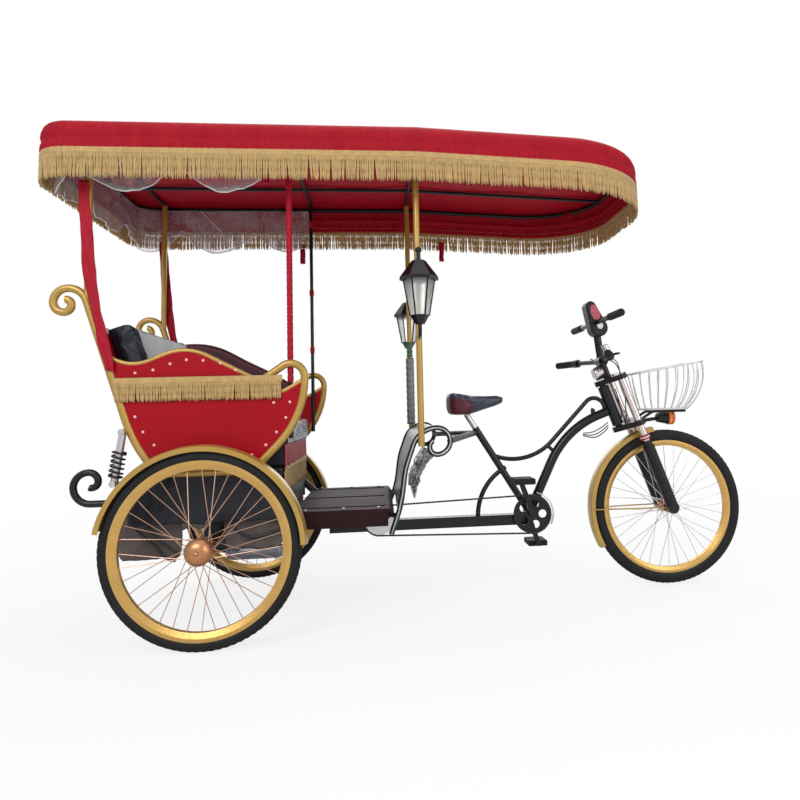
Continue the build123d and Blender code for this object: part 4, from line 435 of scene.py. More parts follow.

# %% [markdown]
# ## Small tools for making pieces
# New pieces are built with bmesh operators and then become one object at the origin. Each says which
# body carries it, which CAD piece it stands for, and which material it takes.

# %% Helpers


def piece(name, bm, material, body, replaces=(), smooth=True, recalc=True):
    """Turn a bmesh into a named object that rides on a body."""
    if recalc:
        bmesh.ops.recalc_face_normals(bm, faces=bm.faces)
    mesh = baked(name, bm)
    for face in mesh.polygons:
        face.use_smooth = smooth
    made = bpy.data.objects.new(name, mesh)
    scene.collection.objects.link(made)
    mesh.materials.append(material)
    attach(made, body)
    if replaces:
        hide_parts(*replaces)
    print(name, "faces", len(mesh.polygons))
    return made


def stamp(bm, master, place):
    """Add a copy of a small master mesh, moved by a matrix, and return its new vertices."""
    before = len(bm.verts)
    bm.from_mesh(master)
    bm.verts.ensure_lookup_table()
    fresh = bm.verts[before:]
    bmesh.ops.transform(bm, matrix=place, verts=fresh)
    return fresh


def ax(x, y, z):
    """Point given forward of the rear axle."""
    return Vector((AXLE_X + x, y, z))


def lay_grid(bm, columns, rows, place):
    """Grid whose points go where place(u, v) says, with u and v from 0 to 1 along its sides."""
    before = len(bm.verts)
    bmesh.ops.create_grid(bm, x_segments=columns, y_segments=rows, size=0.5)
    bm.verts.ensure_lookup_table()
    for vert in bm.verts[before:]:
        vert.co = place(vert.co.x + 0.5, vert.co.y + 0.5)


def add_wall(made, thickness, offset=0):
    """Give a one-layer sheet its real thickness, on both sides or, with offset -1, inwards."""
    wall = made.modifiers.new("wall", "SOLIDIFY")
    wall.thickness = thickness
    wall.offset = offset


# %% [markdown]
# ## Canopy
# The cover is red satin gathered into fine pleats, sewn in two rows round the sides and stretched over
# the top. A circle of edges is laid on the plan's rounded outline and extruded up, row by row, with the
# pleats as a ripple square to the outline. The rings of the top draw in to a spine along the middle.

# %% Canopy plan
TAIL, FRONT, HALF = -0.574, 1.712, 0.520
REAR_CORNER, FRONT_CORNER = 0.120, 0.380
TOP_Z, VALANCE_Z, SEAM_Z, BREAK_X = 1.833, 1.708, 1.768, 0.763
DROOP = math.tan(math.radians(2.8))


def plan_outline():
    """Corners of the plan as runs and arcs: (start, end) or (centre, radius, first angle, turn)."""
    q = math.pi / 2
    return [
        ("run", (TAIL + REAR_CORNER, -HALF), (FRONT - FRONT_CORNER, -HALF)),
        ("arc", (FRONT - FRONT_CORNER, -HALF + FRONT_CORNER), FRONT_CORNER, -q),
        ("run", (FRONT, -HALF + FRONT_CORNER), (FRONT, HALF - FRONT_CORNER)),
        ("arc", (FRONT - FRONT_CORNER, HALF - FRONT_CORNER), FRONT_CORNER, 0),
        ("run", (FRONT - FRONT_CORNER, HALF), (TAIL + REAR_CORNER, HALF)),
        ("arc", (TAIL + REAR_CORNER, HALF - REAR_CORNER), REAR_CORNER, q),
        ("run", (TAIL, HALF - REAR_CORNER), (TAIL, -HALF + REAR_CORNER)),
        ("arc", (TAIL + REAR_CORNER, -HALF + REAR_CORNER), REAR_CORNER, 2 * q),
    ]


SPANS = [(math.dist(step[1], step[2]) if step[0] == "run" else step[2] * math.pi / 2, step)
         for step in plan_outline()]
GIRTH = sum(length for length, step in SPANS)


def on_plan(distance):
    """Point and outward direction at a distance round the canopy's plan."""
    distance %= GIRTH
    for length, step in SPANS:
        if distance <= length:
            share = distance / length
            if step[0] == "run":
                start, end = Vector(step[1]), Vector(step[2])
                along = (end - start).normalized()
                return start.lerp(end, share), Vector((along.y, -along.x))
            turn = step[3] + share * math.pi / 2
            outward = Vector((math.cos(turn), math.sin(turn)))
            return Vector(step[1]) + step[2] * outward, outward
        distance -= length
    return on_plan(0)


def sloped(x, z):
    """Height with the canopy's front droop."""
    return z - max(0.0, x - BREAK_X) * DROOP


print("canopy girth", round(GIRTH, 3))

# %% Pleated cover
PLEATS = 520
PER_PLEAT = 4
bm = bmesh.new()
ring = bmesh.ops.create_circle(bm, segments=PLEATS * PER_PLEAT, radius=1)["verts"]
ring.sort(key=lambda v: math.atan2(v.co.y, v.co.x) % (2 * math.pi))
count = len(ring)
spots = [on_plan(GIRTH * number / count) for number in range(count)]
SIDE_ROWS = [  # height, how deep the pleats are, how far out the cloth stands
    (VALANCE_Z + 0.001, 0.0012, 0.003), (VALANCE_Z + 0.012, 0.0020, 0.004), (VALANCE_Z + 0.030, 0.0024, 0.006),
    (SEAM_Z - 0.010, 0.0022, 0.004), (SEAM_Z - 0.002, 0.0008, 0.001), (SEAM_Z, 0.0005, 0.000),
    (SEAM_Z + 0.003, 0.0010, 0.001), (SEAM_Z + 0.014, 0.0024, 0.004), (SEAM_Z + 0.034, 0.0022, 0.002),
    (TOP_Z - 0.014, 0.0016, -0.004), (TOP_Z - 0.004, 0.0012, -0.012),
]
rng = random.Random(4)
depths = [rng.uniform(0.6, 1.25) for number in range(PLEATS)]


def pleat(number, depth):
    """Ripple of the cloth at one vertex of the ring."""
    turn = 2 * math.pi * number / PER_PLEAT
    return depth * depths[(number // PER_PLEAT) % PLEATS] * math.sin(turn)


def lay_ring(verts, height, depth, stand):
    """Put a ring of vertices round the plan, with its pleats' depth and its stand from the outline."""
    for number, vert in enumerate(verts):
        point, outward = spots[number]
        flat = point + outward * (stand - 0.004 + pleat(number, depth))
        vert.co = (AXLE_X + flat.x, flat.y, sloped(flat.x, height))


def next_ring(bm, verts):
    """Extrude a ring of edges and return the new ring in the same order."""
    edges = [bm.edges.get((verts[i], verts[(i + 1) % len(verts)])) for i in range(len(verts))]
    made = bmesh.ops.extrude_edge_only(bm, edges=edges)["geom"]
    fresh = {v for v in made if isinstance(v, bmesh.types.BMVert)}
    result = []
    for vert in verts:
        result.append(next(e.other_vert(vert) for e in vert.link_edges if e.other_vert(vert) in fresh))
    return result


lay_ring(ring, *SIDE_ROWS[0])
current = ring
for row in SIDE_ROWS[1:]:
    current = next_ring(bm, current)
    lay_ring(current, *row)
# How far each ring of the top draws in to the spine, and how far it sags between the bars.
TOP_RINGS = ((0.03, 0.0), (0.08, 0.0006), (0.2, 0.002), (0.4, 0.005), (0.6, 0.007), (0.8, 0.006), (0.97, 0.003))
SPINE = (TAIL + 0.5, FRONT - 0.5)
FIRST_BAR, BAR_STEP = 0.29, 0.47
for inward, sag in TOP_RINGS:
    current = next_ring(bm, current)
    for number, vert in enumerate(current):
        point, outward = spots[number]
        flat = point - outward * 0.014
        spine = Vector((min(max(flat.x, SPINE[0]), SPINE[1]), 0))
        place = flat.lerp(spine, inward)
        between_bars = abs(math.sin((place.x - FIRST_BAR) * math.pi / BAR_STEP))
        ripple = pleat(number, 0.0010) * (1 - inward) ** 3
        vert.co = (AXLE_X + place.x, place.y, sloped(place.x, TOP_Z - 0.001 - sag * between_bars) + ripple)
bmesh.ops.remove_doubles(bm, verts=current, dist=0.012)
bmesh.ops.holes_fill(bm, edges=[e for e in bm.edges if e.is_boundary and e.verts[0].co.z > TOP_Z - 0.1 and
                                abs(e.verts[0].co.y) < 0.2 and abs(e.verts[1].co.y) < 0.2], sides=0)
canopy = piece("canopy_satin", bm, red_satin, "frame", ["canopy_cover", "canopy_top"])
add_wall(canopy, 0.002, -1)

# %% [markdown]
# ## Fringes
# A woven braid carries hundreds of twisted tassels. One tassel is made from a four-sided cylinder, cut
# into rings, swollen and twisted, and then stamped round the canopy with a little sway each.

# %% One tassel
TASSEL_PITCH, TASSEL_RADIUS, CLUMP_SIZE = 0.0052, 0.0031, 5
TASSEL_SINK = 0.004  # tassels start this far up inside the braid


def tassel_mesh(length, radius, turns=2.2, rings=7):
    """Twisted strand that hangs from z=0 down."""
    bm = bmesh.new()
    bmesh.ops.create_cone(bm, segments=4, radius1=radius, radius2=radius, depth=length, cap_ends=True)
    bmesh.ops.translate(bm, verts=bm.verts, vec=(0, 0, -length / 2))
    uprights = [e for e in bm.edges if abs(e.verts[0].co.z - e.verts[1].co.z) > length / 2]
    bmesh.ops.subdivide_edges(bm, edges=uprights, cuts=rings)
    for vert in bm.verts:
        share = -vert.co.z / length
        twist = Matrix.Rotation(turns * 2 * math.pi * share, 3, "Z")
        swell = 1 + 0.25 * math.sin(share * 18) - 0.35 * max(0, share - 0.9) * 6
        flat = twist @ Vector((vert.co.x * swell, vert.co.y * swell, 0))
        vert.co = (flat.x, flat.y, vert.co.z)
    return baked("tassel", bm)


def hang_fringe(bm, spots, length, sway, rng):
    """Stamp tassels at (point, outward, along) spots; neighbours lean together in clumps."""
    master = tassel_mesh(length, TASSEL_RADIUS)
    clump = 0.0
    for number, (point, outward, along) in enumerate(spots):
        if number % CLUMP_SIZE == 0:
            clump = rng.uniform(-sway, sway)
        lean = Matrix.Rotation(clump + rng.uniform(-sway, sway) * 0.5, 4, outward)
        tip = Matrix.Rotation(rng.uniform(-sway, sway) * 0.4, 4, along)
        stretch = Matrix.Diagonal((1, 1, rng.uniform(0.93, 1.03), 1))
        spin = Matrix.Rotation(rng.uniform(0, math.pi), 4, "Z")
        stamp(bm, master, Matrix.Translation(point) @ lean @ tip @ stretch @ spin)


# %% Canopy fringe
FRINGE_FOOT = 1.620
rng = random.Random(11)
bm = bmesh.new()
spots = []
for number in range(int(GIRTH / TASSEL_PITCH)):
    point, outward = on_plan(number * TASSEL_PITCH)
    flat = point + outward * 0.0015
    spots.append((Vector((AXLE_X + flat.x, flat.y, sloped(flat.x, VALANCE_Z + TASSEL_SINK))),
                  Vector((outward.x, outward.y, 0)), Vector((-outward.y, outward.x, 0))))
hang_fringe(bm, spots, VALANCE_Z + TASSEL_SINK - FRINGE_FOOT, 0.07, rng)
piece("canopy_tassels", bm, gold_cord, "frame", recalc=False)

# %% Canopy braid
BRAID_ROWS = ((-0.001, 0.0), (0.002, 0.003), (0.009, 0.0042), (0.012, 0.0022), (0.015, 0.0042), (0.021, 0.003),
              (0.024, 0.0))
bm = bmesh.new()
ring = bmesh.ops.create_circle(bm, segments=1600, radius=1)["verts"]
ring.sort(key=lambda v: math.atan2(v.co.y, v.co.x) % (2 * math.pi))
for index, (rise, stand) in enumerate(BRAID_ROWS):
    if index:
        ring = next_ring(bm, ring)
    for number, vert in enumerate(ring):
        point, outward = on_plan(GIRTH * number / len(ring))
        knot = 0.0009 * math.cos(math.pi * (number + index))
        flat = point + outward * (stand + knot)
        vert.co = (AXLE_X + flat.x, flat.y, sloped(flat.x, VALANCE_Z + rise))
braid = piece("canopy_braid", bm, gold_cord, "frame", ["canopy_fringe"])
add_wall(braid, 0.0015, -1)

# %% [markdown]
# The side fringes hang from the same kind of braid, sewn across each panel outside the gold wave, and one
# more hangs under the seat's red valance. They are straight, so a grid makes the braid.

# %% Fringes on the carriage


def straight_fringe(start, end, top_z, foot_z, outward, braids, cords, rng, braid_height=0.024):
    """Braid and tassels between two points, facing outward."""
    start, end, outward = Vector(start), Vector(end), Vector(outward)
    along = (end - start).normalized()
    length = (end - start).length
    columns, rows = int(length / 0.004), 6

    def woven(u, v):
        """Two cords side by side, with a knot at every crossing."""
        crown = 0.0035 * math.sin(math.pi * v) - 0.0016 * math.exp(-((v - 0.5) / 0.12) ** 2)
        knot = 0.0007 * math.cos(math.pi * (round(u * columns) + round(v * rows)))
        place = start + along * length * u + outward * (crown + knot)
        return place.x, place.y, top_z - braid_height * (1 - v)

    lay_grid(braids, columns, rows, woven)
    head_z = top_z - braid_height + TASSEL_SINK
    spots = [(start + along * (number + 0.5) * TASSEL_PITCH + Vector((0, 0, head_z)), outward, along)
             for number in range(int(length / TASSEL_PITCH))]
    hang_fringe(cords, spots, head_z - foot_z, 0.06, rng)


rng = random.Random(23)
braids, cords = bmesh.new(), bmesh.new()
for side in (-1, 1):
    straight_fringe(ax(-0.318, side * 0.4355, 0), ax(0.264, side * 0.4355, 0), 0.930, 0.844, (0, side, 0),
                    braids, cords, rng)
straight_fringe(ax(0.2585, -0.352, 0), ax(0.2585, 0.352, 0), 0.592, 0.497, (1, 0, 0), braids, cords, rng, 0.018)
piece("carriage_tassels", cords, gold_cord, "frame", recalc=False)
band = piece("carriage_braids", braids, gold_cord, "frame", ["carriage_fringes"])
add_wall(band, 0.0016)

# %% [markdown]
# ## Tubes and wires
# Piping, springs, cables and wraps are one move: a ring of edges pulled along a path. Each extruded ring
# is set square to the path, and the ends are closed with a face.

# %% A swept tube


def tube(bm, points, radius, sides=8, cap=True, radii=None):
    """Sweep a round section along points with extruded rings."""
    ring, side_dir = None, None
    points = [Vector(point) for point in points]
    for number, point in enumerate(points):
        ahead = points[min(number + 1, len(points) - 1)]
        along = (ahead - points[max(number - 1, 0)]).normalized()
        side_dir = side_dir or along.orthogonal().normalized()
        side_dir = (side_dir - along * side_dir.dot(along)).normalized()
        over = along.cross(side_dir)
        if ring is None:
            ring = list(bmesh.ops.create_circle(bm, segments=sides, radius=1)["verts"])
            first = ring
        else:
            ring = next_ring(bm, ring)
        size = radii[number] if radii else radius
        for corner, vert in enumerate(ring):
            turn = 2 * math.pi * corner / sides
            vert.co = point + side_dir * math.cos(turn) * size + over * math.sin(turn) * size
    if cap:
        for loop in (first, ring):
            bmesh.ops.contextual_create(bm, geom=loop)


def smooth_path(points, steps=8):
    """Points along a smooth curve through the given ones."""
    points = [Vector(point) for point in points]
    result = []
    for number in range(len(points) - 1):
        a, b = points[max(number - 1, 0)], points[number]
        c, d = points[number + 1], points[min(number + 2, len(points) - 1)]
        for step in range(steps):
            t = step / steps
            result.append(0.5 * ((2 * b) + (c - a) * t + (2 * a - 5 * b + 4 * c - d) * t * t +
                                 (3 * b - a - 3 * c + d) * t ** 3))
    return result + [points[-1]]


# %% [markdown]
# ## Upholstery
# Cushions are foam in vinyl: full in the middle and drawn in along their seams. Each starts as a slightly
# smaller copy of its CAD block, gets an even mesh, is blown up by Cloth with a little pressure, and is held
# flat again where it rests on something. Piping is then laid along its seams.

# %% Stuffed pieces
BLOW_FRAMES = 20


def stuffed(name, node, material, shrink, cap, planes=(), voxel=0.006, pressure=4.0, body="frame"):
    """Padded piece from a CAD block, blown up by Cloth and kept on one side of each (point, normal) plane."""
    bm = bmesh.new()
    bm.from_mesh(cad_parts[node].data)
    bmesh.ops.remove_doubles(bm, verts=bm.verts, dist=0.00002)
    low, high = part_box(node)
    middle, size = (low + high) / 2, high - low
    bmesh.ops.scale(bm, vec=[1 - 2 * shrink / length for length in size], space=Matrix.Translation(-middle),
                    verts=bm.verts)
    made = piece(name, bm, material, body, [node], recalc=False)
    even = made.modifiers.new("even_mesh", "REMESH")
    even.mode = "VOXEL"
    even.voxel_size = voxel
    graph = bpy.context.evaluated_depsgraph_get()
    mesh = bpy.data.meshes.new_from_object(made.evaluated_get(graph))
    made.modifiers.clear()
    made.data = mesh
    start = [vert.co.copy() for vert in mesh.vertices]
    cloth = made.modifiers.new("blow_up", "CLOTH")
    cloth.settings.use_pressure = True
    cloth.settings.uniform_pressure_force = pressure
    cloth.settings.effector_weights.gravity = 0
    for number in range(1, BLOW_FRAMES + 1):
        scene.frame_set(number)
    graph = bpy.context.evaluated_depsgraph_get()
    blown = [vert.co.copy() for vert in made.evaluated_get(graph).data.vertices]
    made.modifiers.clear()
    scene.frame_set(1)
    for vert, before, after in zip(mesh.vertices, start, blown):
        step = after - before
        place = before + (step if step.length < cap else step.normalized() * cap)
        for point, normal in planes:
            depth = (place - Vector(point)).dot(Vector(normal))
            if depth < 0:
                place -= Vector(normal) * depth
        vert.co = place
    bm = bmesh.new()
    bm.from_mesh(mesh)
    bmesh.ops.smooth_vert(bm, verts=bm.verts, factor=0.5, use_axis_x=True, use_axis_y=True, use_axis_z=True)
    bm.to_mesh(mesh)
    bm.free()
    for face in mesh.polygons:
        face.use_smooth = True
    soft = made.modifiers.new("soft", "SUBSURF")
    soft.levels = soft.render_levels = 1
    print(name, "faces", len(mesh.polygons))
    return made


# %% Seat, backrest and bolster
KNEE = ax(-0.2817, 0, 0.7887)  # where the backrest's front starts, above the seat cushion
BACK_NORMAL = Vector((0.953, 0, 0.302))
PAD_FOOT = ax(0, 0, 0.7505)
stuffed("seat_pad", "seat_cushion", black_vinyl, 0.006, 0.010,
        [(ax(0, 0, 0.6755), (0, 0, 1)), (ax(0, 0, 0.758), (0, 0, -1))])
stuffed("back_pad", "backrest", black_vinyl, 0.007, 0.012,
        [(KNEE + BACK_NORMAL * 0.0055, BACK_NORMAL), (PAD_FOOT, (0, 0, 1))])
stuffed("side_pad", "side_bolster", maroon_vinyl, 0.005, 0.008,
        [(ax(0, 0.413, 0), (0, -1, 0)), (ax(0, 0.3562, 0), (0, 1, 0)), (PAD_FOOT, (0, 0, 1))])

# %% [markdown]
# The saddle is broad foam under blue-black vinyl, with a maroon band round its rear. The split between the
# two colours follows the height and place of each face.

# %% Saddle in two colours
saddle_top = finish("saddle_top", (0.030, 0.042, 0.068), 0.36, vary=0.3, vary_scale=14, bump_scale=300,
                    bump_height=0.0001, dusty=0.0, Specular_IOR_Level=0.3, Coat_Weight=0.1, Coat_Roughness=0.25)
saddle_pad = stuffed("saddle_pad", "saddle", maroon_vinyl, 0.004, 0.006, voxel=0.005)
saddle_pad.data.materials.clear()
for material in (maroon_vinyl, saddle_top):
    saddle_pad.data.materials.append(material)
low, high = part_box("saddle")
for face in saddle_pad.data.polygons:
    share = (face.center.x - low.x) / (high.x - low.x)
    top = face.center.z > high.z - 0.022 - 0.05 * share
    face.material_index = 1 if top or share > 0.42 else 0

# %% Piping along the seams
PIPE = 0.0032
bm = bmesh.new()
for height in (0.7465, 0.681):
    tube(bm, [ax(0.2615, y / 100, height + 0.0012 * math.sin(y * 0.9)) for y in range(-35, 36, 2)], PIPE, 6)
for side in (-1, 1):
    tube(bm, smooth_path([ax(-0.17, side * 0.354, 0.751), ax(0.1, side * 0.3555, 0.7545),
                          ax(0.245, side * 0.354, 0.751)]), PIPE, 6)
piece("seat_piping", bm, black_vinyl, "frame")

# %% [markdown]
# ## Red valance with a clear film over it
# Below the cushion hangs a red satin valance. It is one sheet with slow waves, held along its top. Over the
# cushion's front edge lies a crumpled clear film, which shows as grey highlights.

# %% Valance
VALANCE_WIDTH, VALANCE_DROP, VALANCE_FOOT = 0.708, 0.092, 0.583


def hung_valance(u, v):
    """Point of the valance, whose waves deepen towards its foot."""
    wave = 0.0022 * math.sin(u * 38 + 1.4 * math.sin(u * 9)) * (1 - v)
    return ax(0.2592 + wave, VALANCE_WIDTH * (u - 0.5), VALANCE_FOOT + VALANCE_DROP * v)


bm = bmesh.new()
lay_grid(bm, 140, 10, hung_valance)
valance = piece("seat_valance", bm, red_satin, "frame", ["seat_skirt"])
add_wall(valance, 0.0012)

# %% Clear film material
haze, g_in, g_out = effect_group("film_haze", (("Scale", "v", 9.0), ("Low", "v", 0.1), ("High", "v", 0.5)),
                                 (("Alpha", "v"), ("Height", "v")))
cloud = noise_node(haze, g_in.outputs["Scale"], 6.0)
cloud.inputs["Distortion"].default_value = 1.6
spread = haze.nodes.new("ShaderNodeMapRange")
spread.inputs["From Min"].default_value = 0.35
spread.inputs["From Max"].default_value = 0.75
haze.links.new(cloud.outputs["Fac"], spread.inputs["Value"])
haze.links.new(g_in.outputs["Low"], spread.inputs["To Min"])
haze.links.new(g_in.outputs["High"], spread.inputs["To Max"])
haze.links.new(spread.outputs["Result"], g_out.inputs["Alpha"])
haze.links.new(cloud.outputs["Fac"], g_out.inputs["Height"])


def film_finish(name, colour, low_alpha, high_alpha):
    """Thin glossy film that shows mostly by its highlights."""
    material = finish(name, colour, 0.16, vary=0.1, vary_scale=10, bump=None, dusty=0.0)
    tree = material.node_tree
    shader = tree.nodes["Principled BSDF"]
    group = tree.nodes.new("ShaderNodeGroup")
    group.node_tree = haze
    group.inputs["Low"].default_value = low_alpha
    group.inputs["High"].default_value = high_alpha
    tree.links.new(group.outputs["Alpha"], shader.inputs["Alpha"])
    relief = tree.nodes.new("ShaderNodeBump")
    relief.inputs["Distance"].default_value = 0.006
    relief.inputs["Strength"].default_value = 0.8
    tree.links.new(group.outputs["Height"], relief.inputs["Height"])
    tree.links.new(relief.outputs["Normal"], shader.inputs["Normal"])
    shader.inputs["Specular IOR Level"].default_value = 0.8
    return material


clear_film = film_finish("clear_film", (0.62, 0.56, 0.58), 0.10, 0.42)
film_hem = film_finish("film_hem", (0.80, 0.78, 0.78), 0.55, 0.85)
grey_film = film_finish("grey_film", (0.42, 0.42, 0.48), 0.55, 0.9)

# %% [markdown]
# ## Rain curtain
# A clear rain curtain is gathered up under the canopy, round the carriage's back. Its foot hangs in swags
# between the ties, with a thicker pale hem. The sheet follows the CAD curtain's path, and folds that deepen
# towards the foot push it in and out.

# %% Curtain path, folds and swags
CURTAIN = (0.468, 0.530, 0.280, 0.090)
half, tail, front_x, bend = CURTAIN
curtain_path = []
for x in np.arange(front_x, -tail + bend, -0.009):
    curtain_path.append((Vector((x, -half)), Vector((0, -1))))
for turn in np.linspace(-math.pi / 2, -math.pi, 14):
    curtain_path.append((Vector((-tail + bend + bend * math.cos(turn), -half + bend + bend * math.sin(turn))),
                         Vector((math.cos(turn), math.sin(turn)))))
for y in np.arange(-half + bend, 0, 0.009):
    curtain_path.append((Vector((-tail, y)), Vector((-1, 0))))
curtain_path += [(Vector((spot.x, -spot.y)), Vector((out.x, -out.y))) for spot, out in reversed(curtain_path)]
runs = [0.0]
for (a, _), (b, _) in zip(curtain_path, curtain_path[1:]):
    runs.append(runs[-1] + (b - a).length)
CURTAIN_TOP, CURTAIN_FOOT, SWAG_RISE, SWAG_SPAN = 1.8035, 1.601, 0.085, 0.37


def curtain_place(number, v):
    """Point of the curtain at a column and a share of its drop."""
    spot, outward = curtain_path[number]
    run = runs[number]
    swag = abs(math.sin(math.pi * run / SWAG_SPAN)) ** 0.7
    foot = CURTAIN_FOOT + SWAG_RISE * (1 - swag) + 0.012 * math.sin(run * 21)
    z = CURTAIN_TOP + (foot - CURTAIN_TOP) * v
    fold = (0.0075 * math.sin(run * 62 + 2.2 * math.sin(run * 7) + 1.5 * v) +
            0.0045 * math.sin(run * 141 + 3 * v)) * (0.3 + 0.7 * v)
    billow = 0.004 * noise.noise(Vector((run * 6, v * 4, 0.5)))
    flat = spot + outward * (fold + billow)
    return Vector((AXLE_X + flat.x, flat.y, z))


# %% Curtain and its hem
columns = len(curtain_path) - 1
bm = bmesh.new()
lay_grid(bm, columns, 18, lambda u, v: curtain_place(round(u * columns), 1 - v))
curtain = piece("clear_curtain", bm, clear_film, "frame", ["rain_curtain"])
bm = bmesh.new()
tube(bm, [curtain_place(number, 1.0) for number in range(0, len(curtain_path), 2)], 0.0028, 5)
for start in (16, 52, len(curtain_path) - 60):  # seams that run down and back across 22 columns
    tube(bm, [curtain_place(min(start + int(22 * t / 12), columns), t / 12) for t in range(13)], 0.0022, 5)
hem = piece("curtain_hem", bm, film_hem, "frame")
add_wall(curtain, 0.0006)

# %% Film over the cushion's front
FILM_WIDTH, FILM_LENGTH, FILM_ON_TOP = 0.69, 0.14, 0.06  # the part on top lies flat, and the rest hangs


def draped_film(u, v):
    """Point of the film, from its rear edge on the cushion over the front edge and down."""
    crumple = 0.004 * noise.noise(Vector((u * 14, v * 6, 0))) + 0.002 * noise.noise(Vector((u * 40, v * 17, 3)))
    over = min(v * FILM_LENGTH, FILM_ON_TOP)
    down = max(0.0, v * FILM_LENGTH - FILM_ON_TOP)
    lift = abs(crumple) if down == 0 else 0.0
    return ax(0.209 + over + crumple, FILM_WIDTH * (u - 0.5),
              0.7625 - down - 0.18 * max(0.0, over - 0.045) + lift)


bm = bmesh.new()
lay_grid(bm, 90, 16, draped_film)
film = piece("seat_film", bm, grey_film, "frame")
add_wall(film, 0.0006)

# %% [markdown]
# ## Ribbons, wraps and ties
# A wide red ribbon hangs beside each back post, creased along its length. The rider's-side front post is
# wrapped in red cloth, and the far one only has red bands. Short red ties hang under the canopy.

# %% Ribbons beside the back posts
RIBBON_FOOT, RIBBON_HEAD, RIBBON_WIDTH = 0.957, 1.640, 0.044


def hung_ribbon(side, u, v):
    """Point of a ribbon that follows the post's lean; the creases make its seen width change."""
    z = RIBBON_FOOT + (RIBBON_HEAD - RIBBON_FOOT) * v
    x = np.interp(z, (0.94, 1.17, 1.297, 1.62), (-0.322, -0.374, -0.398, -0.422))
    width = np.interp(z, (0.94, 1.05, 1.17, 1.297, 1.62), (0.028, 0.040, 0.030, 0.046, 0.037))
    crease = 0.005 * math.sin(u * 6 + v * 13) + 0.003 * math.sin(u * 13 - v * 31)
    return ax(x + (u - 0.5) * width, side * (0.4365 + abs(crease)), z)


for side, label in ((-1, "right"), (1, "left")):
    bm = bmesh.new()
    lay_grid(bm, 8, 70, lambda u, v: hung_ribbon(side, u, v))
    ribbon = piece("ribbon_" + label, bm, ribbon_red, "frame", ["post_ribbons"])
    add_wall(ribbon, 0.0012)

# %% Wrap on the front post, and bands on the far one
FRONT_POST_X, FRONT_POST_Y = 0.290, 0.407
WRAP_FOOT, WRAP_LENGTH, WRAP_RINGS = 0.905, 0.893, 420
bm = bmesh.new()
points, radii = [], []
for number in range(WRAP_RINGS):
    share = number / (WRAP_RINGS - 1)
    points.append(ax(FRONT_POST_X, -FRONT_POST_Y, WRAP_FOOT + WRAP_LENGTH * share))
    radii.append(0.0104 + 0.0009 * abs(math.sin(math.pi * number / 13)) + 0.0004 * math.sin(number * 0.9))
tube(bm, points, 0.0105, 12, radii=radii)
for height in (1.08, 1.36, 1.70):
    tube(bm, [ax(FRONT_POST_X, FRONT_POST_Y, height + step * 0.004) for step in range(9)], 0.011, 12,
         radii=[0.0095 + 0.002 * math.sin(math.pi * step / 8) for step in range(9)])
piece("front_post_wrap", bm, ribbon_red, "frame")

# %% Ties under the canopy
TIE_WIDTH = 0.026
TIE_ENDS = ((0.219, -0.489, 1.660, 1.6200), (0.240, 0.489, 1.640, 1.540), (0.943, 0.489, 1.650, 1.550),
            (0.980, -0.300, 1.760, 1.680), (1.560, 0.300, 1.755, 1.690))  # x, y, top, foot
TIE_TURNS = (0.0, 1.1)  # two strips hang at each place


def hung_tie(ends, turn, u, v):
    """Point of a tie that twists a little as it hangs."""
    x, y, top, foot = ends
    flat = Vector(((u - 0.5) * TIE_WIDTH, 0.003 * math.sin(v * 8 + turn), 0))
    flat.rotate(Matrix.Rotation(turn + 0.4 * math.sin(v * 5), 3, "Z"))
    return ax(x + flat.x, y + flat.y, foot + (top - foot) * v)


bm = bmesh.new()
for ends in TIE_ENDS:
    for turn in TIE_TURNS:
        lay_grid(bm, 4, 12, lambda u, v: hung_tie(ends, turn, u, v))
ties = piece("canopy_ties", bm, ribbon_red, "frame")
add_wall(ties, 0.0012)

# %% [markdown]
# ## Studs
# Small pearly studs hold the panel's skin. They follow the gold wave in one row and the panel's front and
# rear edges in two more. One low dome is stamped at each place.

# %% Studs on both side panels
dome = bmesh.new()
bmesh.ops.create_uvsphere(dome, u_segments=10, v_segments=6, radius=0.0052)
bmesh.ops.bisect_plane(dome, geom=dome.verts[:] + dome.edges[:] + dome.faces[:], plane_co=(0, 0, 0),
                       plane_no=(0, 0, 1), clear_inner=True)
bmesh.ops.scale(dome, vec=(1, 1, 0.55), verts=dome.verts)
dome_mesh = baked("stud_master", dome)
STUDS = ((-0.247, 0.948), (-0.186, 0.957), (-0.128, 0.978), (-0.072, 0.991), (-0.014, 0.988), (0.046, 0.977),
         (0.099, 0.951), (-0.246, 0.793), (-0.219, 0.739), (-0.181, 0.692), (0.232, 0.831),
         (0.289, 0.832), (0.274, 0.776), (0.241, 0.725), (0.203, 0.680), (0.154, 0.646))
bm = bmesh.new()
for side in (-1, 1):
    turn = Matrix.Rotation(-side * math.pi / 2, 4, "X")
    for x, z in STUDS:
        stamp(bm, dome_mesh, Matrix.Translation(ax(x, side * 0.4261, z)) @ turn)
piece("panel_studs", bm, stud_pearl, "frame")

# %% [markdown]
# ## Chains
# A roller chain is one link stamped round a belt line: two waisted side plates with a bushing at each end.
# The belt line runs over both sprockets' pitch circles and along their two common tangents.

# %% Chain links


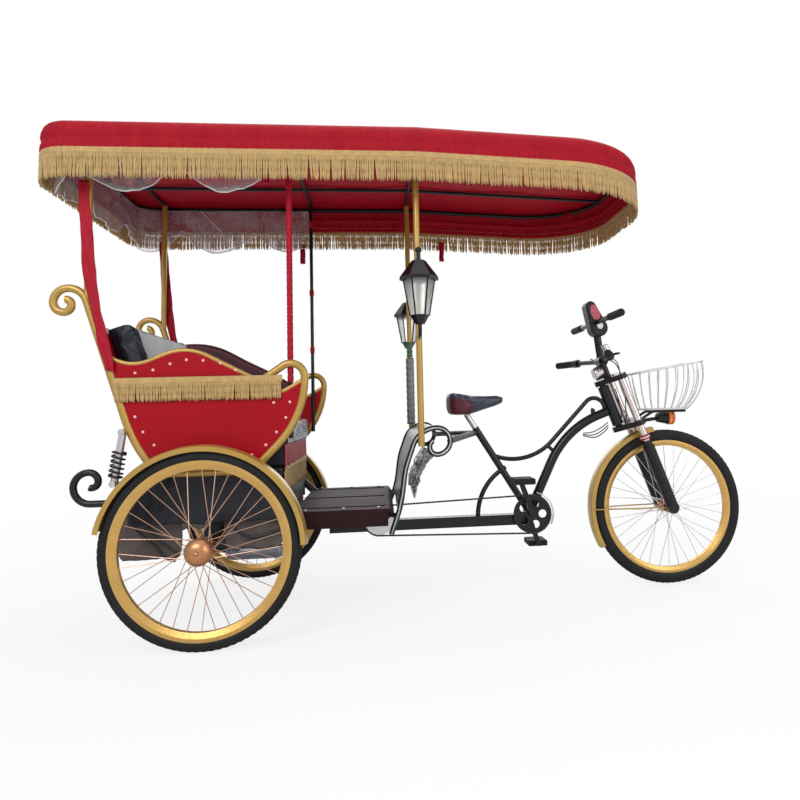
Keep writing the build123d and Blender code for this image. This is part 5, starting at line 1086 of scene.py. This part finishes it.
def belt_spots(first, first_radius, second, second_radius, pitch):
    """Points and headings at even steps round two sprockets' pitch circles, in the side view."""
    first, second = Vector(first), Vector(second)
    reach = (second - first).length
    base = math.atan2(second.y - first.y, second.x - first.x)
    spread = math.acos((first_radius - second_radius) / reach)
    a, b = base + spread, base - spread
    run = math.sqrt(reach ** 2 - (first_radius - second_radius) ** 2)
    arc_one = first_radius * (2 * math.pi - 2 * spread)
    arc_two = second_radius * 2 * spread
    total = 2 * run + arc_one + arc_two
    spots = []
    for number in range(round(total / pitch)):
        s = total * number / round(total / pitch)
        if s < arc_one:
            turn = a + s / first_radius
            point, heading = first + first_radius * Vector((math.cos(turn), math.sin(turn))), turn + math.pi / 2
        elif s < arc_one + run:
            start = first + first_radius * Vector((math.cos(b), math.sin(b)))
            end = second + second_radius * Vector((math.cos(b), math.sin(b)))
            point = start.lerp(end, (s - arc_one) / run)
            heading = math.atan2(end.y - start.y, end.x - start.x)
        elif s < arc_one + run + arc_two:
            turn = b + (s - arc_one - run) / second_radius
            point, heading = second + second_radius * Vector((math.cos(turn), math.sin(turn))), turn + math.pi / 2
        else:
            start = second + second_radius * Vector((math.cos(a), math.sin(a)))
            end = first + first_radius * Vector((math.cos(a), math.sin(a)))
            point = start.lerp(end, (s - arc_one - run - arc_two) / run)
            heading = math.atan2(end.y - start.y, end.x - start.x)
        spots.append((point, heading))
    return spots


def link_mesh(pitch, outer):
    """One link along x, its plates on both sides of y=0, with a bushing in front."""
    waist = 0.0012  # points nearer the plate's middle than this stay there and draw in
    bm = bmesh.new()
    for side in (-1, 1):
        plate = bmesh.ops.create_circle(bm, segments=12, radius=0.0041, cap_ends=True)["verts"]
        for vert in plate:
            if abs(vert.co.x) < waist:
                vert.co.y *= 0.66
            else:
                vert.co.x += math.copysign(pitch / 2, vert.co.x)
        grown = bmesh.ops.extrude_face_region(bm, geom=list(plate[0].link_faces))["geom"]
        fresh = [v for v in grown if isinstance(v, bmesh.types.BMVert)]
        bmesh.ops.translate(bm, verts=fresh, vec=(0, 0, 0.0009))
        bmesh.ops.rotate(bm, verts=plate + fresh, matrix=Matrix.Rotation(math.pi / 2, 3, "X"), cent=(0, 0, 0))
        bmesh.ops.translate(bm, verts=plate + fresh, vec=(0, side * (0.0033 if outer else 0.0023), 0))
        pin = bmesh.ops.create_cone(bm, segments=8, radius1=0.0026, radius2=0.0026, depth=0.0024,
                                    cap_ends=True)["verts"]
        bmesh.ops.rotate(bm, verts=pin, matrix=Matrix.Rotation(math.pi / 2, 3, "X"), cent=(0, 0, 0))
        bmesh.ops.translate(bm, verts=pin, vec=(pitch / 2, side * 0.0030, 0))
    bmesh.ops.recalc_face_normals(bm, faces=bm.faces)
    return baked("link", bm)


# %% Both chains
PITCH = 0.0127
CRANK, JACK, REAR_AXLE = (1.250, 0.333), (0.600, 0.333), (0.0, 0.336)
chain_oily = finish("chain_oily", (0.10, 0.085, 0.07), 0.38, metal=0.85, vary=0.6, vary_scale=60, bump_scale=900)
bm = bmesh.new()
for y, first, r_one, second, r_two in ((-0.050, CRANK, 0.08085, JACK, 0.06064),
                                       (0.060, JACK, 0.02830, REAR_AXLE, 0.04851)):
    masters = [link_mesh(PITCH, False), link_mesh(PITCH, True)]
    for number, (point, heading) in enumerate(belt_spots(first, r_one, second, r_two, PITCH)):
        place = Matrix.Translation(ax(point.x, y, point.y)) @ Matrix.Rotation(-heading, 4, "Y")
        stamp(bm, masters[number % 2], place)
piece("chain_links", bm, chain_oily, "frame", ["chains"], smooth=False, recalc=False)

# %% [markdown]
# ## Suspension springs
# The shock units carry black coil springs. A helix from foot to head, with its first and last turns closed
# up as on a ground spring, is swept with a round wire.

# %% Coil springs
SPRING_SIDE, SPRING_RADIUS, SPRING_WIRE = 0.440, 0.0212, 0.0036
TURNS, STEPS, CLOSED = 6.5, 18, 0.7  # turns in all, steps in a turn, turns closed up at each end
coil_low, coil_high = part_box("shock_coils")
bm = bmesh.new()
top_end, foot_end = ax(-0.281, 0, 0.741), ax(-0.309, 0, 0.563)
for side in (-1, 1):
    aside = Vector((0, side * SPRING_SIDE, 0))
    head, foot = top_end + aside, foot_end + aside
    axis = (head - foot).normalized()
    coil_foot = foot + axis * ((coil_low.z + 0.008 - foot.z) / axis.z)
    coil_head = foot + axis * ((coil_high.z - 0.008 - foot.z) / axis.z)
    over = axis.cross(Vector((0, 1, 0))).normalized()
    points = []
    for number in range(int(TURNS * STEPS) + 1):
        turn = number / STEPS
        share = min(1, max(0, (turn - CLOSED) / (TURNS - 2 * CLOSED)))
        angle = 2 * math.pi * turn
        swing = math.cos(angle) * over + math.sin(angle) * Vector((0, 1, 0))
        points.append(coil_foot.lerp(coil_head, share) + SPRING_RADIUS * swing)
    tube(bm, points, SPRING_WIRE, 8)
piece("coil_springs", bm, black_paint, "frame", ["shock_coils"])

# %% [markdown]
# ## Tyre tread
# Small rubber blocks in staggered rows give the tyres their tread. They sit on the shoulders, so the tyre
# still meets the floor where the CAD says.

# %% Tread blocks
BLOCK_SIZE = (0.015, 0.0075, 0.0022)
BLOCK_ROWS = (-46, -27, 27, 46)  # degrees round the tyre's section, from its crown
BLOCKS_PER_ROW, BLOCK_SKEW = 84, 18


def tread(node, name, body):
    """Stamp staggered blocks on both shoulders of a tyre."""
    low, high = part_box(node)
    centre, radius = (low + high) / 2, (high.z - low.z) / 2
    section = (high.y - low.y) / 2
    block = bmesh.new()
    bmesh.ops.create_cube(block, size=1)
    bmesh.ops.scale(block, vec=BLOCK_SIZE, verts=block.verts)
    top = [face for face in block.faces if face.normal.z > 0.5]
    bmesh.ops.inset_region(block, faces=top, thickness=0.0012, depth=0)
    mesh = baked("block", block)
    bm = bmesh.new()
    for row, angle in enumerate(BLOCK_ROWS):
        tilt = math.radians(angle)
        skew = Matrix.Rotation(math.radians(BLOCK_SKEW if row % 2 else -BLOCK_SKEW), 4, "Z")
        reach = radius - section + section * math.cos(tilt)
        for number in range(BLOCKS_PER_ROW):
            turn = 2 * math.pi * (number + 0.5 * (row % 2)) / BLOCKS_PER_ROW
            place = (Matrix.Translation(centre) @ Matrix.Rotation(turn, 4, "Y") @
                     Matrix.Translation((0, section * math.sin(tilt), reach)) @
                     Matrix.Rotation(-tilt, 4, "X") @ skew)
            stamp(bm, mesh, place)
    piece(name, bm, tyre_rubber, body, smooth=False, recalc=False)


tread("tyre_rear_right", "tread_rear_right", "rear_wheel_right")
tread("tyre_rear_left", "tread_rear_left", "rear_wheel_left")
tread("tyre_front", "tread_front", "front_wheel")

# %% [markdown]
# ## Fork, bars and cables
# The fork's stanchions end in wiper seals ringed in red and white. The display has a red-pink face with a
# silver inset, and thin black cables run from the bars down to the fork and behind the head tube.

# %% Head tube's own directions
LEAN_ANGLE = math.radians(70)
FORK_OFFSET = 0.0676  # how far ahead of the head tube's axis the fork's legs and the front axle are
FORWARD = Vector((math.sin(LEAN_ANGLE), 0, math.cos(LEAN_ANGLE)))
UPWARD = Vector((-math.cos(LEAN_ANGLE), 0, math.sin(LEAN_ANGLE)))
HEAD = ax(1.871, 0, 0.336) - FORK_OFFSET * FORWARD + 0.513 * UPWARD


def on_head(ahead, side, rise):
    """Point in the steering's own directions, from the head tube's middle."""
    return HEAD + FORWARD * ahead + Vector((0, side, 0)) + UPWARD * rise


# %% Face and inset of the display
# The pod's long direction in the side view is the first direction of its points' spread.
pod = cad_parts["display_pod"].data
corners = np.array([tuple(vert.co) for vert in pod.vertices])
middle = (corners.max(axis=0) + corners.min(axis=0)) / 2
flat = corners[:, (0, 2)] - corners[:, (0, 2)].mean(axis=0)
long_x, long_z = np.linalg.svd(flat, full_matrices=False)[2][0]
long_x, long_z = (long_x, long_z) if long_z > 0 else (-long_x, -long_z)
pod_turn = math.atan2(long_z, long_x)
face_pink = finish("face_pink", (0.50, 0.05, 0.09), 0.25, vary=0.35, vary_scale=60, Coat_Weight=0.5)
face_silver = finish("face_silver", (0.55, 0.56, 0.60), 0.3, metal=0.7, vary=0.4, vary_scale=60)
for label, material, rise, long_half, short_half in (("pod_face", face_pink, 0.030, 0.036, 0.019),
                                                     ("pod_inset", face_silver, -0.030, 0.018, 0.013)):
    bm = bmesh.new()
    for side, y in ((-1, corners[:, 1].min()), (1, corners[:, 1].max())):
        oval = bmesh.ops.create_circle(bm, segments=40, radius=1, cap_ends=True)["verts"]
        for vert in oval:
            along, over = vert.co.x * long_half, vert.co.y * short_half
            bend = 1 - 0.16 * (along / long_half)
            vert.co = (middle[0] + long_x * (rise + along) - long_z * over * bend, y + side * 0.0006,
                       middle[2] + long_z * (rise + along) + long_x * over * bend)
    inlay = piece(label, bm, material, "steering",
                  smooth=False)
    add_wall(inlay, 0.0012)
print("pod leans", round(math.degrees(pod_turn)))

# %% Wiper rings
ring_red = finish("ring_red", (0.35, 0.010, 0.02), 0.35, vary=0.2, vary_scale=40)
ring_white = finish("ring_white", (0.75, 0.72, 0.72), 0.35, vary=0.2, vary_scale=40)
cable_black = finish("cable_black", (0.012, 0.012, 0.013), 0.5, vary=0.2, vary_scale=40)
for label, material, rises in (("wiper_red", ring_red, (-0.176, -0.190)),
                               ("wiper_white", ring_white, (-0.183,))):
    bm = bmesh.new()
    for side in (-1, 1):
        for rise in rises:
            tube(bm, [on_head(FORK_OFFSET, side * 0.070, rise + step * 0.0012 - 0.003) for step in range(6)],
                 0.022, 20, radii=[0.0216, 0.0226, 0.0229, 0.0229, 0.0226, 0.0216])
    piece(label, bm, material, "steering")

# %% Cables
bm = bmesh.new()
for side in (-1, 1):
    tube(bm, smooth_path([on_head(0.012, side * 0.060, 0.215), on_head(0.062, side * 0.085, 0.16),
                          on_head(0.070, side * 0.060, 0.06), on_head(0.052, side * 0.036, -0.03),
                          on_head(0.036, side * 0.030, -0.085)], 10), 0.0024, 8)
    tube(bm, smooth_path([on_head(0.020, side * 0.150, 0.205), on_head(0.058, side * 0.120, 0.165),
                          on_head(0.064, side * 0.070, 0.105), on_head(0.040, side * 0.040, 0.120)], 10), 0.0022, 8)
piece("steering_cables", bm, cable_black, "steering")
bm = bmesh.new()
for drop, bow in ((0.0, 0.010), (0.012, 0.022), (0.022, 0.034)):
    tube(bm, smooth_path([ax(1.612 - 0.002 * bow, -0.021, 0.712 - drop), ax(1.575, -0.024 - bow, 0.690 - drop),
                          ax(1.535, -0.024 - bow, 0.672 - drop), ax(1.498, -0.019, 0.668 - drop * 0.5)], 10),
         0.0024, 8)
piece("frame_cables", bm, cable_black, "frame")

# %% [markdown]
# ## Dash and floor details
# The dash's side bars carry a light edge line that follows the curl, the floor has bolt heads and seams,
# and a crumpled grey sheet is stuffed behind the dash.

# %% Floor bolts
bolt = bmesh.new()
bmesh.ops.create_cone(bolt, segments=6, radius1=0.007, radius2=0.007, depth=0.004, cap_ends=True)
top = [face for face in bolt.faces if face.normal.z > 0.9]
bmesh.ops.inset_region(bolt, faces=top, thickness=0.0012, depth=0.0006)
bolt_mesh = baked("bolt_master", bolt)
bm = bmesh.new()
for x in (0.33, 0.47, 0.60):
    for side in (-1, 1):
        stamp(bm, bolt_mesh, Matrix.Translation(ax(x, side * 0.355, 0.4322)) @
              Matrix.Rotation(x * 9, 4, "Z"))
piece("floor_bolts", bm, bright_steel, "frame", smooth=False, recalc=False)

# %% Floor seams
bm = bmesh.new()
for y in (-0.30, 0.0, 0.30):
    tube(bm, [ax(0.300 + 0.012 * step, y, 0.4306) for step in range(28)], 0.0022, 6)
piece("floor_seams", bm, floor_maroon, "frame")

# %% Edge lines on the dash's side bars
edge_silver = finish("edge_silver", (0.48, 0.49, 0.52), 0.3, metal=0.6, vary=0.3, vary_scale=20)
# Straight run, then a bend's radius and its turn in degrees.
DASH_STEPS = ((0.0702, 0.400, 2), (0.0, 0.400, 10), (0.060, 0.300, -12), (0.060, 0.0952, -70), (0.0, 0.050, -180),
              (0.0, 0.028, -150))


def dash_curl(step=6):
    """Points along the dash's side bar, as runs and bends from its foot."""
    x, z, heading = 0.645, 0.335, math.radians(70)
    points = [(x, z)]
    for run, bend, turn in DASH_STEPS:
        x, z = x + run * math.cos(heading), z + run * math.sin(heading)
        if run:
            points.append((x, z))
        parts = max(1, abs(turn) // step)
        bit = math.radians(turn) / parts
        chord = 2 * bend * math.sin(abs(bit) / 2)
        for _ in range(parts):
            heading += bit / 2
            x, z = x + chord * math.cos(heading), z + chord * math.sin(heading)
            heading += bit / 2
            points.append((x, z))
    return points


bm = bmesh.new()
for side in (-1, 1):
    tube(bm, [ax(x, side * 0.3885, z) for x, z in dash_curl()], 0.0034, 6)
piece("dash_edge_lines", bm, edge_silver, "frame")

# %% Crumpled sheet behind the dash
STUFFING_WIDTH, STUFFING_FOOT, STUFFING_RISE = 0.66, 0.455, 0.165


def folded_stuffing(u, v):
    """Point of the sheet that lies behind the leaning dash."""
    z = STUFFING_FOOT + STUFFING_RISE * v
    base = np.interp(z, (0.44, 0.50, 0.56, 0.62), (0.722, 0.735, 0.760, 0.800))
    ruck = 0.010 * noise.noise(Vector((u * 9, v * 7, 1))) + 0.006 * noise.noise(Vector((u * 25, v * 19, 5)))
    return ax(base + ruck + 0.012, STUFFING_WIDTH * (u - 0.5), z)


bm = bmesh.new()
lay_grid(bm, 70, 44, folded_stuffing)
stuffing = piece("dash_stuffing", bm, grey_film, "frame")
add_wall(stuffing, 0.0008)

# %% [markdown]
# The far lamp post still wears its packing: a flat grey sleeve below, and a green tape above it.

# %% Sleeve and tape on the far lamp post
LAMP_POST_X, LAMP_POST_Y = 0.763, 0.400
SLEEVE_FOOT, SLEEVE_HEAD, SLEEVE_ROWS, SLEEVE_FLATNESS = 0.722, 1.047, 40, 1.35
TAPE_FOOT, TAPE_LENGTH = 1.051, 0.074
bm = bmesh.new()
tube(bm, [ax(LAMP_POST_X, LAMP_POST_Y, SLEEVE_FOOT + (SLEEVE_HEAD - SLEEVE_FOOT) * row / SLEEVE_ROWS)
          for row in range(SLEEVE_ROWS + 1)], 0.0145, 16,
     radii=[0.0146 + 0.0007 * math.sin(row * 1.7) for row in range(SLEEVE_ROWS + 1)])
for vert in bm.verts:
    vert.co.x = AXLE_X + LAMP_POST_X + (vert.co.x - AXLE_X - LAMP_POST_X) * SLEEVE_FLATNESS
sleeve_grey = finish("sleeve_grey", (0.20, 0.21, 0.22), 0.35, metal=0.3, vary=0.4, vary_scale=20)
piece("post_sleeve", bm, sleeve_grey, "frame")
tape_green = finish("tape_green", (0.055, 0.16, 0.075), 0.45, vary=0.4, vary_scale=20)
bm = bmesh.new()
tube(bm, [ax(LAMP_POST_X, LAMP_POST_Y, TAPE_FOOT + TAPE_LENGTH * row / 16) for row in range(17)], 0.0145, 16,
     radii=[0.0142 + 0.0010 * math.sin(row * 1.3) for row in range(17)])
piece("post_tape", bm, tape_green, "frame")

# %% [markdown]
# ## Under the seat
# Between the spokes are dented grey-tan plates before and behind the axle, with straps and a metal canister,
# and the shade of the space under the carriage. That shade is painted: a black sheet on each side closes the
# space and stands in for it. They are plain sheets and tubes, hung inside the wheels from the chassis tubes.

# %% Shapes under the seat
plate_tan = finish("plate_tan", (0.155, 0.125, 0.115), 0.55, vary=0.7, vary_scale=10, dusty=0.05,
                   Specular_IOR_Level=0.3)
canister_blue = finish("canister_blue", (0.20, 0.22, 0.27), 0.35, metal=0.5, vary=0.5, vary_scale=16)
# Extent of the black sheets that stand in for the shade under the carriage (painted shade).
SHADE_SHEET_TAIL, SHADE_SHEET_LENGTH, SHADE_SHEET_TOP = -0.290, 0.542, 0.590


def hung_shade_sheet(side, u, v):
    """Point of the black sheet that closes the space under the carriage, as painted shade."""
    ruck = (0.006 * noise.noise(Vector((u * 9, v * 2.5, side))) +
            0.002 * noise.noise(Vector((u * 24, v * 6, side))))
    foot = 0.404 + 0.010 * noise.noise(Vector((u * 5, 2, side)))
    return ax(SHADE_SHEET_TAIL + SHADE_SHEET_LENGTH * u, side * (0.3620 + abs(ruck)), foot + (SHADE_SHEET_TOP - foot) * v)


def dented_plate(side, x_low, x_high, z_low, z_high, seed, u, v):
    """Point of a plate in the side view with soft dents and a ragged lower edge."""
    dent = 0.012 * noise.noise(Vector((u * 4, v * 3, seed)))
    rag = 0.014 * noise.noise(Vector((u * 5, seed, 1))) * (1 - v)
    corner = 0.02 * (2 * abs(v - 0.5)) ** 6
    x = x_low + corner + (x_high - x_low - 2 * corner) * u
    return ax(x, side * (0.330 + dent), z_low + rag + (z_high - z_low) * v)


# %% Shade sheets, plates, straps and canisters
plates, straps, canisters = bmesh.new(), bmesh.new(), bmesh.new()
for side, label in ((-1, "right"), (1, "left")):
    # A black sheet on each side darkens the space under the carriage: painted shade that stands in for the shade
    # there.
    bm = bmesh.new()
    lay_grid(bm, 70, 24, lambda u, v: hung_shade_sheet(side, u, v))
    shade_sheet = piece("seat_shade_sheet_" + label, bm, black_vinyl, "frame")
    add_wall(shade_sheet, 0.001)
    lay_grid(plates, 36, 24, lambda u, v: dented_plate(side, -0.338, -0.112, 0.276, 0.440, 3.0 + side, u, v))
    lay_grid(plates, 36, 24, lambda u, v: dented_plate(side, 0.035, 0.247, 0.300, 0.452, 7.0 + side, u, v))
    for run in (((-0.300, 0.440), (-0.262, 0.385), (-0.205, 0.330), (-0.165, 0.285), (-0.130, 0.272)),
                ((-0.255, 0.442), (-0.232, 0.405), (-0.190, 0.350), (-0.150, 0.318), (-0.118, 0.300)),
                ((0.050, 0.440), (0.075, 0.380), (0.130, 0.345), (0.200, 0.352), (0.244, 0.372))):
        tube(straps, smooth_path([ax(x, side * 0.3490, z) for x, z in run], 6), 0.0055, 8)
    tube(canisters, [ax(x, side * 0.300, 0.283) for x in (0.036, 0.040, 0.060, 0.225, 0.240, 0.244)], 0.028, 24,
         radii=(0.012, 0.021, 0.028, 0.028, 0.022, 0.012))
shields = piece("under_plates", plates, plate_tan, "frame")
add_wall(shields, 0.002)
piece("under_straps", straps, cable_black, "frame")
piece("under_canisters", canisters, canister_blue, "frame")
